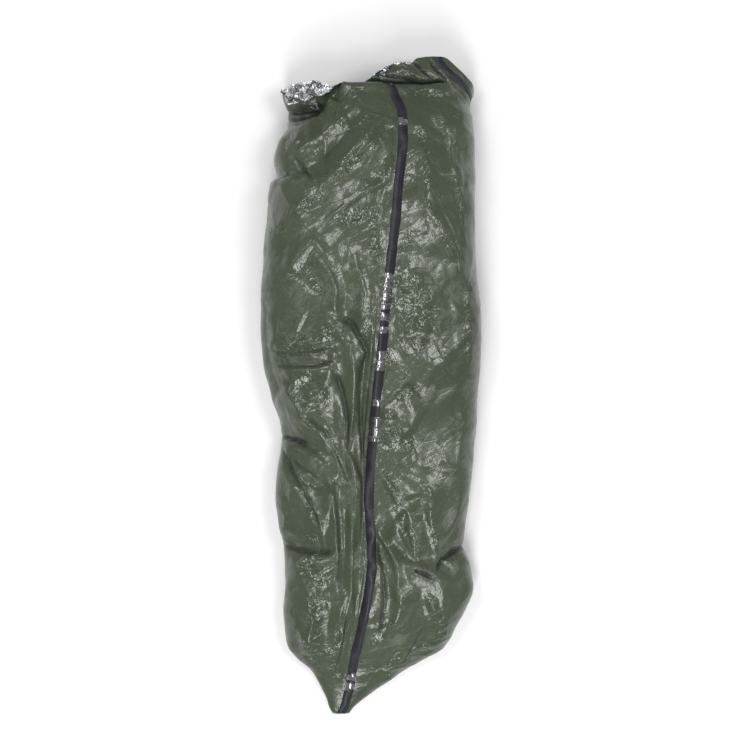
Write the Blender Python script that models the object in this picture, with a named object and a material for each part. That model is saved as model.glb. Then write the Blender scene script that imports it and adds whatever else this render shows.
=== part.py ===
"""Emergency sleeping bag of metallised film, laid on its back with its upper seam on top and its mouth open.

Two film panels meet at an upper seam and at a second seam that runs under the bag and comes up round the
right of the collar. Black tape covers both seams. +Y points to the mouth, +X to the bag's right-hand edge as
it is seen from above, and +Z up. The underside lies flat on z = 0.
"""

import functools
import math
from collections import namedtuple

import bmesh
import bpy
import numpy as np

MM = 0.001

# Driving sizes
FILM_THICK = 2.0 * MM
FULL_THICK_FROM = 26 * MM  # below this height, at the tip, the film is modelled thinner
TAPE_THICK = 1.0 * MM
TAPE_HALF = 12.5 * MM
TAPE_WAVE = 0.9 * MM  # how far the tape's hand-laid edges wander
TAPE_WAVES = ((1.0, 61.0, 0.0), (0.6, 143.0, 1.0))  # share, turns per metre in radians, and start of each wave
TAPE_SHARE = 0.30  # the most of a panel's width that a tape's half may take, near the tip
SEAM_GAP = 0.3 * MM  # from the seam's line to each panel's edge
FIT_GAP = 0.4 * MM  # between the tape and the film
SIDE_SHARE = 0.36  # height of the bag's widest line, as a share of its height
UNDERCUT = 0.85  # how far the side tucks in below that line, as a share of the line's height
FULLNESS = 2.25  # exponent of the upper outline: 2 is an ellipse, more is squarer
CREST = 1.45  # exponent of a fold's profile: 2 is a soft wave, less is a sharper crease
BODY_ROWS = 62
MOUTH_ROWS = 10
MOUTH_FROM = 735 * MM  # where the rows stop being straight across
MOUTH_SETTLE = 24  # rounds in which each column finds its own place at the rim
CREASE_SHARE = 0.35  # share of the mouth's rows that lie below its crease
CUFF_ROLL = 6 * MM  # radius of the fold where the cuff turns back
LIP_STAND = 13 * MM  # height of the lip where the turned-back cuff runs out into the plain rim
LEFT_COLUMNS = 23  # across each panel, between its tape columns
RIGHT_COLUMNS = 15
UNDER_DENSITY = 0.30  # columns per length under the bag, against the top
SEAM_DENSITY = 0.8  # how much closer the columns lie beside the upper seam
SEAM_REACH = 70 * MM
OUTLINE_STEPS = 90  # points along each quarter of a section
PLACE_STEPS = 900  # steps in which the columns are shared out round a section
LEVEL = 0.01 * MM  # film this low lies on the ground
ROW_BIAS = 0.012  # how much closer the rows lie at both ends of the body
MOUTH_LEVELS = 60  # sections kept for the mouth
MOUTH_OVERLAP = 30 * MM  # how far below MOUTH_FROM they start
MOUTH_GUESS = 800 * MM  # where each column's search for its place starts
UPPER_BAND = (0.12, 0.40)  # heights, as shares, between which the lower edge turns into the upper rim
CUFF_BAND = (0.40, 0.72)  # heights, as shares, between which the cuff comes in at the side
CUFF_FULL = 18 * MM  # a cuff this long is turned back fully
CUFF_ROWS = 5  # the mouth's rows below the cuff
CUFF_RIGHT = -100 * MM  # the cuff lies left of this line
CUFF_ABOVE = 100 * MM  # and higher than this
COLLAR_FROM = 786 * MM  # from here to the mouth the height is taken as constant for the folds
FREE_BAND = (0.05, 0.5)  # heights, as shares, between which the folds come in
FREE_FROM = 0.02  # below this share of the folds the film lies flat on the ground
FULL_LIFT_FROM = 120 * MM  # where the bag is lower than this, its folds are lower too
THIN_SHARE = 0.6  # of FILM_THICK, at the very tip
FOLD_END = 0.14  # share of a fold's length over which it fades at each end
FOLD_END_LIFT = 0.35  # share of its lift that is left there
TIP_WRAP = 26 * MM  # length of tape turned under at the tip
TIP_HALF = 11 * MM  # half its width there
TIP_BEND = (0.55, 0.7)  # heights of the tape's two upper bends at the tip, as shares
SHARP_FROM = 50  # degrees between faces that look creased

# Sections across the bag, in mm. "seam" is where the upper seam lies in x, and "under" is how far along the
# film the second seam lies from the right-hand edge, minus where it is under the bag.
Station = namedtuple("Station", "y left right seam height under")
STATIONS = (
    Station(-881, -104, -58, -80, 13, -24),
    Station(-865, -113, -46, -73, 18, -36),
    Station(-846, -119, -25, -67, 24, -52),
    Station(-804, -138, 32, -57, 38, -100),
    Station(-761, -161, 93, -50, 56, -150),
    Station(-729, -198, 151, -45, 74, -195),
    Station(-698, -222, 199, -38, 92, -235),
    Station(-645, -233, 228, -26, 119, -262),
    Station(-592, -237, 255, -16, 141, -280),
    Station(-533, -233, 273, -5, 153, -290),
    Station(-470, -233, 263, 3, 160, -290),
    Station(-417, -236, 248, 2, 154, -285),
    Station(-364, -245, 252, -1, 162, -285),
    Station(-295, -257, 263, -5, 170, -290),
    Station(-226, -254, 271, -2, 168, -295),
    Station(-152, -242, 277, 3, 162, -298),
    Station(-93, -246, 281, 8, 166, -300),
    Station(-19, -270, 286, 16, 181, -302),
    Station(76, -289, 294, 27, 200, -302),
    Station(172, -294, 292, 36, 213, -300),
    Station(267, -291, 285, 45, 222, -295),
    Station(394, -283, 279, 60, 232, -285),
    Station(487, -277, 277, 69, 236, -265),
    Station(545, -268, 276, 74, 232, -240),
    Station(562, -250, 276, 76, 231, -230),
    Station(606, -256, 276, 81, 227, -200),
    Station(654, -246, 276, 84, 220, -155),
    Station(691, -222, 274, 84, 210, -110),
    Station(723, -225, 273, 81, 199, -65),
    Station(755, -230, 266, 69, 184, -15),
    Station(786, -237, 276, 53, 167, 26),
    Station(810, -238, 277, 40, 159, 50),
    Station(835, -238, 277, 28, 153, 84),
    Station(860, -238, 277, 19, 149, 122),
    Station(885, -238, 277, 14, 146, 146),
)

# The mouth, in mm of y, by place across the bag: share is -1 at its left edge and 1 at its right edge.
# "crease" is where the shoulder ends, "rim" the upper layer's edge, "lower" the edge of the layer on the
# ground, and "cuff" the length turned back over the shoulder.
Mouth = namedtuple("Mouth", "share crease rim lower cuff")
MOUTH = (
    Mouth(-1.00, 782, 798, 776, 30),
    Mouth(-0.90, 795, 810, 785, 50),
    Mouth(-0.80, 798, 816, 790, 43),
    Mouth(-0.72, 800, 818, 793, 56),
    Mouth(-0.62, 797, 814, 796, 40),
    Mouth(-0.52, 792, 808, 799, 22),
    Mouth(-0.42, 787, 804, 802, 7),
    Mouth(-0.33, 782, 802, 806, 0),
    Mouth(-0.18, 781, 802, 822, 0),
    Mouth(-0.10, 784, 812, 838, 0),
    Mouth(0.00, 788, 831, 850, 0),
    Mouth(0.12, 790, 850, 860, 0),
    Mouth(0.25, 791, 866, 864, 0),
    Mouth(0.40, 790, 873, 858, 0),
    Mouth(0.55, 791, 877, 846, 0),
    Mouth(0.66, 793, 877, 834, 0),
    Mouth(0.80, 796, 856, 818, 0),
    Mouth(0.92, 798, 830, 803, 0),
    Mouth(1.00, 790, 806, 792, 0),
)

# Folds of the film, in mm: "lift" is how far a ridge stands proud, or a trough lies low with a minus, "width"
# is its half-width, and "route" its line as it is seen from above.
Fold = namedtuple("Fold", "name lift width route")
FOLDS = (
    Fold("chest band", 14, 24, ((65, 660), (10, 610), (-70, 565), (-140, 505), (-215, 445))),
    Fold("shoulder ridge", 13, 17, ((-85, 705), (-140, 650), (-200, 600))),
    Fold("shoulder trough", -13, 17, ((-45, 690), (-105, 620), (-165, 572))),
    Fold("chest trough", -17, 26, ((55, 575), (-40, 500), (-135, 440), (-215, 380), (-260, 335))),
    Fold("chest ridge", 12, 16, ((50, 540), (-25, 500), (-85, 455), (-140, 400), (-220, 300))),
    Fold("rib ridge", 14, 16, ((-150, 395), (-110, 335), (-90, 260), (-85, 185))),
    Fold("rib trough", -13, 18, ((-60, 395), (-55, 290), (-70, 195))),
    Fold("rib ridge by seam", 12, 14, ((-30, 330), (-20, 245), (-25, 180))),
    Fold("upper trough", -17, 16, ((-85, 185), (-50, 165), (-10, 85), (-20, 35), (-25, -30))),
    Fold("long trough", -19, 14, ((-25, -30), (-25, -150), (-20, -275), (-25, -400), (-30, -535))),
    Fold("foot trough", -13, 13, ((-30, -535), (-50, -625), (-62, -730), (-84, -825))),
    Fold("long ridge", 16, 14, ((-55, 115), (-40, 25), (-50, -100), (-60, -150), (-38, -270))),
    Fold("shin ridge", 14, 13, ((-38, -270), (-44, -400), (-52, -535), (-72, -625), (-82, -720))),
    Fold("second trough", -14, 14, ((-85, 20), (-72, -150), (-64, -275), (-70, -425), (-76, -560))),
    Fold("belt ridge", 12, 13, ((-265, 105), (-160, 105), (-70, 115))),
    Fold("belt trough", -13, 13, ((-265, 80), (-175, 78), (-95, 85))),
    Fold("lower belt ridge", 8, 12, ((-240, 52), (-150, 58), (-80, 65))),
    Fold("thigh ridge", 13, 17, ((-235, 10), (-160, -80), (-95, -170))),
    Fold("waist pinch", -16, 13, ((-250, -130), (-190, -143), (-130, -172))),
    Fold("waist ridge", 10, 12, ((-240, -158), (-165, -165), (-112, -212))),
    Fold("knee trough", -12, 16, ((-235, -178), (-195, -235), (-150, -262), (-108, -250))),
    Fold("knee ridge", 12, 15, ((-225, -205), (-180, -280), (-135, -340), (-125, -390))),
    Fold("shin ridge outside", 12, 14, ((-102, -262), (-92, -340), (-88, -440))),
    Fold("calf pinch", -14, 15, ((-240, -422), (-175, -436), (-95, -435))),
    Fold("calf ridge", 16, 22, ((-172, -505), (-145, -600), (-160, -690))),
    Fold("shoulder fold, right", 13, 20, ((85, 700), (122, 680), (145, 610), (150, 475))),
    Fold("flank fold, right", 12, 20, ((150, 475), (195, 390), (252, 265))),
    Fold("hip mound", 12, 32, ((75, 260), (115, 210), (155, 140))),
    Fold("packing crease", 6, 9, ((15, -190), (100, -190), (268, -214))),
    Fold("thigh fold, right", 13, 17, ((30, -230), (70, -305), (105, -390), (125, -460))),
    Fold("flank ridge, right", 10, 14, ((150, -285), (160, -360), (178, -440))),
    Fold("shin fold, right", 12, 15, ((12, -355), (60, -450), (70, -525))),
    Fold("shin trough, right", -14, 16, ((20, -400), (45, -470), (52, -545), (38, -665))),
    Fold("right pinch", -17, 15, ((250, -412), (212, -440), (170, -482))),
    Fold("knot ridge", 13, 13, ((172, -490), (90, -462))),
    Fold("ankle fold", 12, 17, ((168, -492), (195, -560), (200, -650))),
    Fold("instep ridge", 12, 14, ((68, -520), (82, -570), (52, -655))),
    Fold("instep trough", -12, 18, ((140, -560), (148, -660), (125, -735))),
    Fold("elbow notch", -10, 13, ((-275, 560), (-210, 556), (-155, 565))),
    Fold("side trough under cuff", -15, 11, ((-245, 722), (-205, 714), (-160, 722), (-130, 742))),
    Fold("side strip", 8, 9, ((-235, 742), (-195, 735), (-150, 744))),
    Fold("lower side trough", -10, 9, ((-230, 692), (-190, 694), (-150, 706))),
    Fold("collar crease", -11, 12, ((-90, 790), (-15, 792), (60, 790), (150, 786), (215, 800))),
    Fold("collar step", -8, 9, ((95, 866), (172, 850), (208, 834), (232, 812), (250, 782))),
)

# The loose fold of the collar, right of the seam: its crown's line, and the way it is thrown over the seam.
BILLOW_ROUTE = ((62, 826), (105, 832), (160, 834), (205, 820))
BILLOW_WIDTH = 30
BILLOW_CREST = 2.4  # exponent of its profile
BILLOW_THROW = (-9, -17, 20)

# Slack in the film: waves that run all over it, in mm and degrees.
Slack = namedtuple("Slack", "lift length heading start")
SLACK = (
    Slack(2.6, 231, 24, 0.0),
    Slack(2.2, 147, 71, 1.3),
    Slack(1.7, 98, 118, 2.9),
    Slack(1.3, 77, 152, 4.4),
)

FILM_COLOUR = (0.092, 0.112, 0.083, 1.0)
FILM_ROUGHNESS = 0.34
TAPE_COLOUR = (0.031, 0.034, 0.036, 1.0)
TAPE_ROUGHNESS = 0.28


def smoothstep(low, high, value):
    share = np.clip((value - low) / (high - low), 0.0, 1.0)
    return share * share * (3.0 - 2.0 * share)


def through(places, values, at):
    """A smooth curve through a table's values that never overshoots them (a monotone cubic)."""
    places = np.asarray(places, float)
    values = np.asarray(values, float)
    steps = np.diff(places)
    slopes = np.diff(values) / steps
    tangents = np.zeros(len(values))
    tangents[0], tangents[-1] = slopes[0], slopes[-1]
    same_way = slopes[:-1] * slopes[1:] > 0
    weight_a = 2 * steps[1:] + steps[:-1]
    weight_b = steps[1:] + 2 * steps[:-1]
    before = np.where(same_way, slopes[:-1], 1.0)
    after = np.where(same_way, slopes[1:], 1.0)
    mean = (weight_a + weight_b) / (weight_a / before + weight_b / after)
    tangents[1:-1] = np.where(same_way, mean, 0.0)
    at = np.clip(at, places[0], places[-1])
    spot = np.clip(np.searchsorted(places, at, side="right") - 1, 0, len(steps) - 1)
    share = (at - places[spot]) / steps[spot]
    near = (1 + 2 * share) * (1 - share) ** 2 * values[spot] + share * share * (3 - 2 * share) * values[spot + 1]
    lean = share * (1 - share) ** 2 * tangents[spot] - share * share * (1 - share) * tangents[spot + 1]
    return near + lean * steps[spot]


def station_value(name, y):
    """One column of STATIONS at y, in metres."""
    places = [row.y * MM for row in STATIONS]
    return through(places, [getattr(row, name) * MM for row in STATIONS], y)


def mouth_value(name, share):
    """One column of MOUTH at a share across the bag, in metres."""
    return through([row.share for row in MOUTH], [getattr(row, name) * MM for row in MOUTH], share)


def section(y):
    """The closed outline at y, from the crown down the left side, under the bag and up the right side."""
    left, right = station_value("left", y), station_value("right", y)
    height = station_value("height", y)
    middle, half = (left + right) / 2, (right - left) / 2
    waist = SIDE_SHARE * height
    tuck = min(UNDERCUT * waist, 0.6 * half)
    turn = np.linspace(0.0, math.pi / 2, OUTLINE_STEPS)
    out = np.sin(turn) ** (2 / FULLNESS) * half
    up = waist + np.maximum(np.cos(turn), 0.0) ** (2 / FULLNESS) * (height - waist)
    out_low = half - tuck + tuck * np.cos(turn)
    up_low = waist * (1 - np.sin(turn))
    flat = np.linspace(half - tuck, 0.0, OUTLINE_STEPS)
    side_out = np.concatenate([out, out_low[1:], flat[1:]])
    side_up = np.concatenate([up, up_low[1:], np.zeros(OUTLINE_STEPS - 1)])
    x = np.concatenate([middle - side_out, (middle + side_out)[-2::-1]])
    z = np.concatenate([side_up, side_up[-2::-1]])
    return x, z


def column_places(y, half_tape):
    """Where each column crosses the section at y: lengths along it from the crown, first down the left."""
    x, z = section(y)
    steps = np.hypot(np.diff(x), np.diff(z))
    run = np.concatenate([[0.0], np.cumsum(steps)])
    whole = run[-1]
    widest = OUTLINE_STEPS  # points from the crown down to the widest line
    seam_x = station_value("seam", y)
    if seam_x <= x[0]:
        seam = np.interp(-seam_x, -x[:widest], run[:widest])
    else:
        seam = np.interp(seam_x, x[: -widest - 1 : -1], run[: -widest - 1 : -1]) - whole
    right_edge = run[np.argmax(x)]
    second = right_edge + station_value("under", y)
    density_at = np.linspace(seam, seam + whole, PLACE_STEPS)
    height_at = np.interp(density_at % whole, run, z)
    beside = np.minimum(density_at - seam, seam + whole - density_at)
    density = np.where(height_at < LEVEL, UNDER_DENSITY, 1.0)
    density = density * (1 + SEAM_DENSITY * np.exp(-((beside / SEAM_REACH) ** 2)))
    total = np.concatenate([[0.0], np.cumsum((density[1:] + density[:-1]) / 2 * np.diff(density_at))])

    def spread(start, end, count):
        low, high = np.interp([start, end], density_at, total)
        return np.interp(np.linspace(low, high, count + 2)[1:-1], total, density_at)

    tape = min(half_tape, TAPE_SHARE * (second - seam), TAPE_SHARE * (seam + whole - second))
    places = [seam + SEAM_GAP, seam + tape]
    places += list(spread(seam + tape, second - tape, LEFT_COLUMNS))
    places += [second - tape, second - SEAM_GAP, second + SEAM_GAP, second + tape]
    places += list(spread(second + tape, seam + whole - tape, RIGHT_COLUMNS))
    places += [seam + whole - tape, seam + whole - SEAM_GAP]
    return np.array(places) % whole


def tape_half_at(y):
    """Half the tape's width at y."""
    waves = sum(share * math.sin(y * turns + start) for share, turns, start in TAPE_WAVES)
    return TAPE_HALF + TAPE_WAVE * waves / sum(share for share, turns, start in TAPE_WAVES)


def film_line(y):
    """Every column's point on the smooth section at y."""
    x, z = section(y)
    run = np.concatenate([[0.0], np.cumsum(np.hypot(np.diff(x), np.diff(z)))])
    places = column_places(y, tape_half_at(y))
    return np.stack([np.interp(places, run, x), np.full(len(places), y), np.interp(places, run, z)], axis=1)


@functools.lru_cache(maxsize=1)
def mouth_lines():
    """The film's lines every few millimetres through the mouth, with their y levels."""
    levels = np.linspace(MOUTH_FROM - MOUTH_OVERLAP, STATIONS[-1].y * MM, MOUTH_LEVELS)
    return levels, np.array([film_line(level) for level in levels])


def film_at(ys):
    """One point for each column, each at its own y."""
    levels, lines = mouth_lines()
    low, high = levels[0], levels[-1]
    columns = np.arange(lines.shape[1])
    found = []
    for row in ys:
        place = np.clip((row - low) / (high - low) * (len(levels) - 1), 0, len(levels) - 1.001)
        under = place.astype(int)
        share = (place - under)[:, None]
        found.append(lines[under, columns] * (1 - share) + lines[under + 1, columns] * share)
    return np.array(found)


def mouth_shape(ys):
    """What the tables say for each column at its own y: its crease, rim, lower edge, cuff and upper share."""
    line = film_at(ys[None, :])[0]
    left, right = station_value("left", ys), station_value("right", ys)
    height = station_value("height", ys)
    share = (line[:, 0] - (left + right) / 2) / ((right - left) / 2)
    upper = smoothstep(*UPPER_BAND, line[:, 2] / height)
    cuff = mouth_value("cuff", share) * smoothstep(*CUFF_BAND, line[:, 2] / height)
    return mouth_value("crease", share), mouth_value("rim", share), mouth_value("lower", share), cuff, upper


def mouth_row(along):
    """Each column's y and its lift off the body's surface, at a share of the way from MOUTH_FROM to the rim."""
    ys = np.full(LEFT_COLUMNS + RIGHT_COLUMNS + 8, MOUTH_GUESS)
    bend = math.pi * CUFF_ROLL
    for _ in range(MOUTH_SETTLE):
        crease, rim, lower, cuff, upper = mouth_shape(ys)
        turned = smoothstep(0.0, CUFF_FULL, cuff)
        below = MOUTH_FROM + (crease - MOUTH_FROM) * min(along / CREASE_SHARE, 1.0)
        past = max(along - CREASE_SHARE, 0.0) / (1 - CREASE_SHARE)
        plain = below + past * (rim - crease)
        travel = past * (cuff + bend)
        turning = np.minimum(travel, bend) / CUFF_ROLL
        folded = below + CUFF_ROLL * np.sin(turning) - np.maximum(travel - bend, 0.0)
        over = plain * (1 - turned) + folded * turned
        ys = (ys + over * upper + (MOUTH_FROM + along * (lower - MOUTH_FROM)) * (1 - upper)) / 2
    stand = LIP_STAND * past * 4 * turned * (1 - turned)
    return ys, (CUFF_ROLL * (1 - np.cos(turning)) * turned + stand) * upper


def base_grid():
    """Rows of points round the bag, from the tip of the foot to the mouth, before the folds."""
    tip = STATIONS[0].y * MM
    even = np.linspace(0.0, 1.0, BODY_ROWS)
    body = tip + (MOUTH_FROM - tip) * (even - ROW_BIAS * np.sin(2 * math.pi * even))
    rows = np.array([film_line(y) for y in body])
    mouth = [mouth_row(step / MOUTH_ROWS) for step in range(1, MOUTH_ROWS + 1)]
    ys = np.array([row[0] for row in mouth])
    lifts = np.array([row[1] for row in mouth])
    grid = np.concatenate([rows, film_at(ys)])
    normals = grid_normals(grid)
    grid[BODY_ROWS:] += normals[BODY_ROWS - 2] * lifts[..., None]
    return grid


def grid_normals(grid):
    """Outward unit normals of a grid whose columns close round the bag."""
    around = np.roll(grid, -1, axis=1) - np.roll(grid, 1, axis=1)
    along = np.empty_like(grid)
    along[1:-1] = grid[2:] - grid[:-2]
    along[0], along[-1] = grid[1] - grid[0], grid[-1] - grid[-2]
    normal = np.cross(along, around)
    normal /= np.maximum(np.linalg.norm(normal, axis=2, keepdims=True), 1e-12)
    for edge, other in ((0, -1), (LEFT_COLUMNS + 3, LEFT_COLUMNS + 4)):
        shared = normal[:, edge] + normal[:, other]
        shared /= np.linalg.norm(shared, axis=1, keepdims=True)
        normal[:, edge] = shared
        normal[:, other] = shared
    return normal


def route_distance(x, y, route):
    """Distance from each point to a fold's line, and the share of the way along it, both seen from above."""
    points = np.array(route, float) * MM
    lengths = np.linalg.norm(np.diff(points, axis=0), axis=1)
    whole = lengths.sum()
    nearest = np.full(x.shape, np.inf)
    share = np.zeros(x.shape)
    before = 0.0
    for start, end, length in zip(points[:-1], points[1:], lengths):
        run = (end - start) / length
        along = np.clip((x - start[0]) * run[0] + (y - start[1]) * run[1], 0.0, length)
        gap = np.hypot(x - start[0] - along * run[0], y - start[1] - along * run[1])
        closer = gap < nearest
        nearest = np.where(closer, gap, nearest)
        share = np.where(closer, (before + along) / whole, share)
        before += length
    return nearest, share


def fold_lift(x, y):
    """How far the folds and the slack raise the film at each point seen from above."""
    lift = np.zeros(x.shape)
    for fold in FOLDS:
        gap, share = route_distance(x, y, fold.route)
        shape = np.exp(-((gap / (fold.width * MM)) ** CREST))
        fade = smoothstep(0.0, FOLD_END, share) * smoothstep(1.0, 1.0 - FOLD_END, share)
        fade = FOLD_END_LIFT + (1 - FOLD_END_LIFT) * fade
        lift += fold.lift * MM * shape * fade
    for wave in SLACK:
        heading = math.radians(wave.heading)
        across = x * math.cos(heading) + y * math.sin(heading)
        lift += wave.lift * MM * np.sin(across / (wave.length * MM) * 2 * math.pi + wave.start)
    return lift


def folded_grid():
    """The film's outer face with its folds, centred on the origin and flat underneath."""
    grid = base_grid()
    normals = grid_normals(grid)
    x, y, z = grid[..., 0], grid[..., 1], grid[..., 2]
    height = station_value("height", np.minimum(y, COLLAR_FROM))
    free = smoothstep(*FREE_BAND, z / height)
    room = np.minimum(1.0, height / FULL_LIFT_FROM)
    lift = fold_lift(x, y)
    rows = np.arange(len(grid))[:, None]
    on_cuff = (rows >= BODY_ROWS + CUFF_ROWS) & (x < CUFF_RIGHT) & (z > CUFF_ABOVE)
    lift = np.where(on_cuff, np.maximum(lift, 0.0), lift)
    grid = grid + normals * (lift * free * room)[..., None]
    gap, _ = route_distance(x, y, BILLOW_ROUTE)
    thrown = np.exp(-((gap / (BILLOW_WIDTH * MM)) ** BILLOW_CREST)) * free * (rows >= BODY_ROWS)
    grid = grid + thrown[..., None] * np.array(BILLOW_THROW) * MM
    grid[..., 2] = np.where(free < FREE_FROM, 0.0, np.maximum(grid[..., 2], 0.0))
    taped = np.zeros(grid.shape[1], bool)
    second = LEFT_COLUMNS + 2
    taped[second : second + 4] = True
    lowest = np.where(taped, TAPE_THICK + 2 * FIT_GAP, 0.0)
    grid[..., 2] = np.maximum(grid[..., 2], lowest)
    return grid


def closed_sheet(name, outer, inner, material):
    """A closed mesh between two matching grids of points."""
    rows, columns = outer.shape[:2]
    mesh = bmesh.new()
    top = [[mesh.verts.new(point) for point in row] for row in outer]
    low = [[mesh.verts.new(point) for point in row] for row in inner]

    def face(a, b, c, d):
        """Two triangles, split along the shorter diagonal so that a fold's crest stays sharp."""
        if (a.co - c.co).length <= (b.co - d.co).length:
            mesh.faces.new((a, b, c))
            mesh.faces.new((a, c, d))
        else:
            mesh.faces.new((a, b, d))
            mesh.faces.new((b, c, d))

    for i in range(rows - 1):
        for j in range(columns - 1):
            face(top[i][j], top[i + 1][j], top[i + 1][j + 1], top[i][j + 1])
            face(low[i][j], low[i][j + 1], low[i + 1][j + 1], low[i + 1][j])
    for i in range(rows - 1):
        face(top[i][0], low[i][0], low[i + 1][0], top[i + 1][0])
        face(top[i][-1], top[i + 1][-1], low[i + 1][-1], low[i][-1])
    for j in range(columns - 1):
        face(top[0][j], top[0][j + 1], low[0][j + 1], low[0][j])
        face(top[-1][j], low[-1][j], low[-1][j + 1], top[-1][j + 1])
    data = bpy.data.meshes.new(name)
    mesh.to_mesh(data)
    mesh.free()
    data.shade_smooth()
    data.set_sharp_from_angle(angle=math.radians(SHARP_FROM))
    data.materials.append(material)
    piece = bpy.data.objects.new(name, data)
    bpy.context.scene.collection.objects.link(piece)
    return piece


def finish(name, colour, roughness):
    material = bpy.data.materials.new(name)
    material.use_nodes = True
    shader = material.node_tree.nodes["Principled BSDF"]
    shader.inputs["Base Color"].default_value = colour
    shader.inputs["Roughness"].default_value = roughness
    shader.inputs["Metallic"].default_value = 0.0
    return material


def make_panels(grid, normals, film):
    height = station_value("height", grid[..., 1])
    thick = FILM_THICK * np.clip(height / FULL_THICK_FROM, THIN_SHARE, 1.0)
    inner = grid - normals * thick[..., None]
    split = LEFT_COLUMNS + 4
    closed_sheet("panel_left", grid[:, :split], inner[:, :split], film)
    closed_sheet("panel_right", grid[:, split:], inner[:, split:], film)


def tip_turn(grid):
    """The tape's inner and outer points where it turns round the tip and a little way under the bag."""
    across = np.array([1.0, SEAM_GAP / TAPE_HALF, -SEAM_GAP / TAPE_HALF, -1.0]) * TIP_HALF
    second = LEFT_COLUMNS + 2 + np.arange(4)
    middle = grid[0, second, 0].mean()
    slope = (grid[1, second, 0].mean() - middle) / (grid[1, 0, 1] - grid[0, 0, 1])
    tip = grid[0, 0, 1]
    under = TAPE_THICK + 2 * FIT_GAP
    crown = grid[0, [-2, -1, 0, 1], 2]
    rows = []
    for clear in (FIT_GAP, FIT_GAP + TAPE_THICK):
        corners = (
            (tip + TIP_WRAP, np.full(4, under - clear)),
            (tip - clear, np.full(4, under - clear)),
            (tip - clear, crown * TIP_BEND[0]),
            (tip - clear, crown + clear * TIP_BEND[1]),
        )
        rows.append([np.stack([middle + (y - tip) * slope + across, np.full(4, y), z], axis=1) for y, z in corners])
    return np.array(rows[0]), np.array(rows[1])


def make_tapes(grid, normals, black):
    low = grid + normals * FIT_GAP
    high = grid + normals * (FIT_GAP + TAPE_THICK)
    last = grid.shape[1] - 1
    seam = [last - 1, last, 0, 1]
    second = LEFT_COLUMNS + 2 + np.arange(4)
    turn_low, turn_high = tip_turn(grid)
    top_low, top_high = np.concatenate([turn_low, low[:, seam]]), np.concatenate([turn_high, high[:, seam]])
    closed_sheet("seam_tape_top", top_high, top_low, black)
    closed_sheet("seam_tape_side", high[2:, second], low[2:, second], black)


def centre_on_origin(pieces):
    """Moves the pieces' points so that the middle of the bag's box lies over the origin."""
    points = np.array([vertex.co for piece in pieces for vertex in piece.data.vertices])
    middle = (points.max(axis=0) + points.min(axis=0)) / 2
    for piece in pieces:
        for vertex in piece.data.vertices:
            vertex.co.x -= middle[0]
            vertex.co.y -= middle[1]


def main():
    for thing in list(bpy.data.objects):
        bpy.data.objects.remove(thing)
    grid = folded_grid()
    normals = grid_normals(grid)
    film = finish("olive_film", FILM_COLOUR, FILM_ROUGHNESS)
    black = finish("black_tape", TAPE_COLOUR, TAPE_ROUGHNESS)
    make_panels(grid, normals, film)
    make_tapes(grid, normals, black)
    centre_on_origin(list(bpy.context.scene.objects))


main()
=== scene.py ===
# %% [markdown]
# # Emergency sleeping bag
#
# A one-person emergency bag is two sheets of thin polythene film, olive outside and metallised inside,
# joined along two long seams into a tube with a pointed foot. Black tape covers both seams. The bag is
# modelled laid on its back, filled out as it is when it is worn, with its upper seam on top. The collar
# is gathered, and on the left the mouth is turned back so that the bright inside shows as a cuff.
#
# Film this thin does not drape like cloth. It creases: every pull ends in a sharp ridge, and what lies
# between is flat. So the shape is built in layers, from the sections of the tube, through the long folds,
# to the small dents that catch the light.

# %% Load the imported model
import functools
import math
from collections import namedtuple

import bpy
import numpy as np
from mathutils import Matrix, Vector
from mathutils.bvhtree import BVHTree
from mathutils.geometry import delaunay_2d_cdt


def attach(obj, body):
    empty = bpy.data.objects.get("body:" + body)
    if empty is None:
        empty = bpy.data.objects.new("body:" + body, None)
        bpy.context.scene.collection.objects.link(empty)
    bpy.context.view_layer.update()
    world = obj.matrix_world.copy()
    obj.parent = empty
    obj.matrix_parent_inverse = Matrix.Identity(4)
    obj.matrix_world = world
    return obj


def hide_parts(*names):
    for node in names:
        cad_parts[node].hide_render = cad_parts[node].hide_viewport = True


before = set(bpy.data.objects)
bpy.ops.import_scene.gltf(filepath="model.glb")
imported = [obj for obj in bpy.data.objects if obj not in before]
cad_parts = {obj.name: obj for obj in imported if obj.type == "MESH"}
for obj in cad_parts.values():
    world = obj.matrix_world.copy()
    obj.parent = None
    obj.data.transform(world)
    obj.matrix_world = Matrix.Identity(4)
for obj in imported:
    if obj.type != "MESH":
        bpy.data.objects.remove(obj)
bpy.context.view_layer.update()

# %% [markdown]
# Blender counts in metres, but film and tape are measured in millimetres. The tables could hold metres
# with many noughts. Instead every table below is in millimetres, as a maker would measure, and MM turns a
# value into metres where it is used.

MM = 0.001

# %% [markdown]
# The real film is a few hundredths of a millimetre thick. A sheet of faces with no thickness would be
# truer, but it would have no edge to see and no inner face. So the film is drawn 0.8 mm thick, and the
# tape 0.4 mm.

# %% Sizes of the film and the tape
FILM_THICK = 0.8 * MM
TAPE_THICK = 0.4 * MM
TAPE_HALF = 12.5 * MM  # half of the tape's 25 mm
TAPE_WAVE = 0.9 * MM  # how far the tape's hand-laid edges wander
TAPE_WAVES = ((1.0, 61.0, 0.0), (0.6, 143.0, 1.0))  # share, radians per metre, start
TAPE_SHARE = 0.30  # the most of a panel's width that a tape's half may take, near the tip
SEAM_GAP = 0.3 * MM  # from the seam's line to each panel's edge
FIT_GAP = 0.25 * MM  # between the tape and the film
BOX_MIDDLE = (0.11 * MM, -1.08 * MM)  # the middle of the whole bag's box, before it is centred
print("film", FILM_THICK / MM, "mm and tape", TAPE_THICK / MM, "mm thick")

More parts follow.
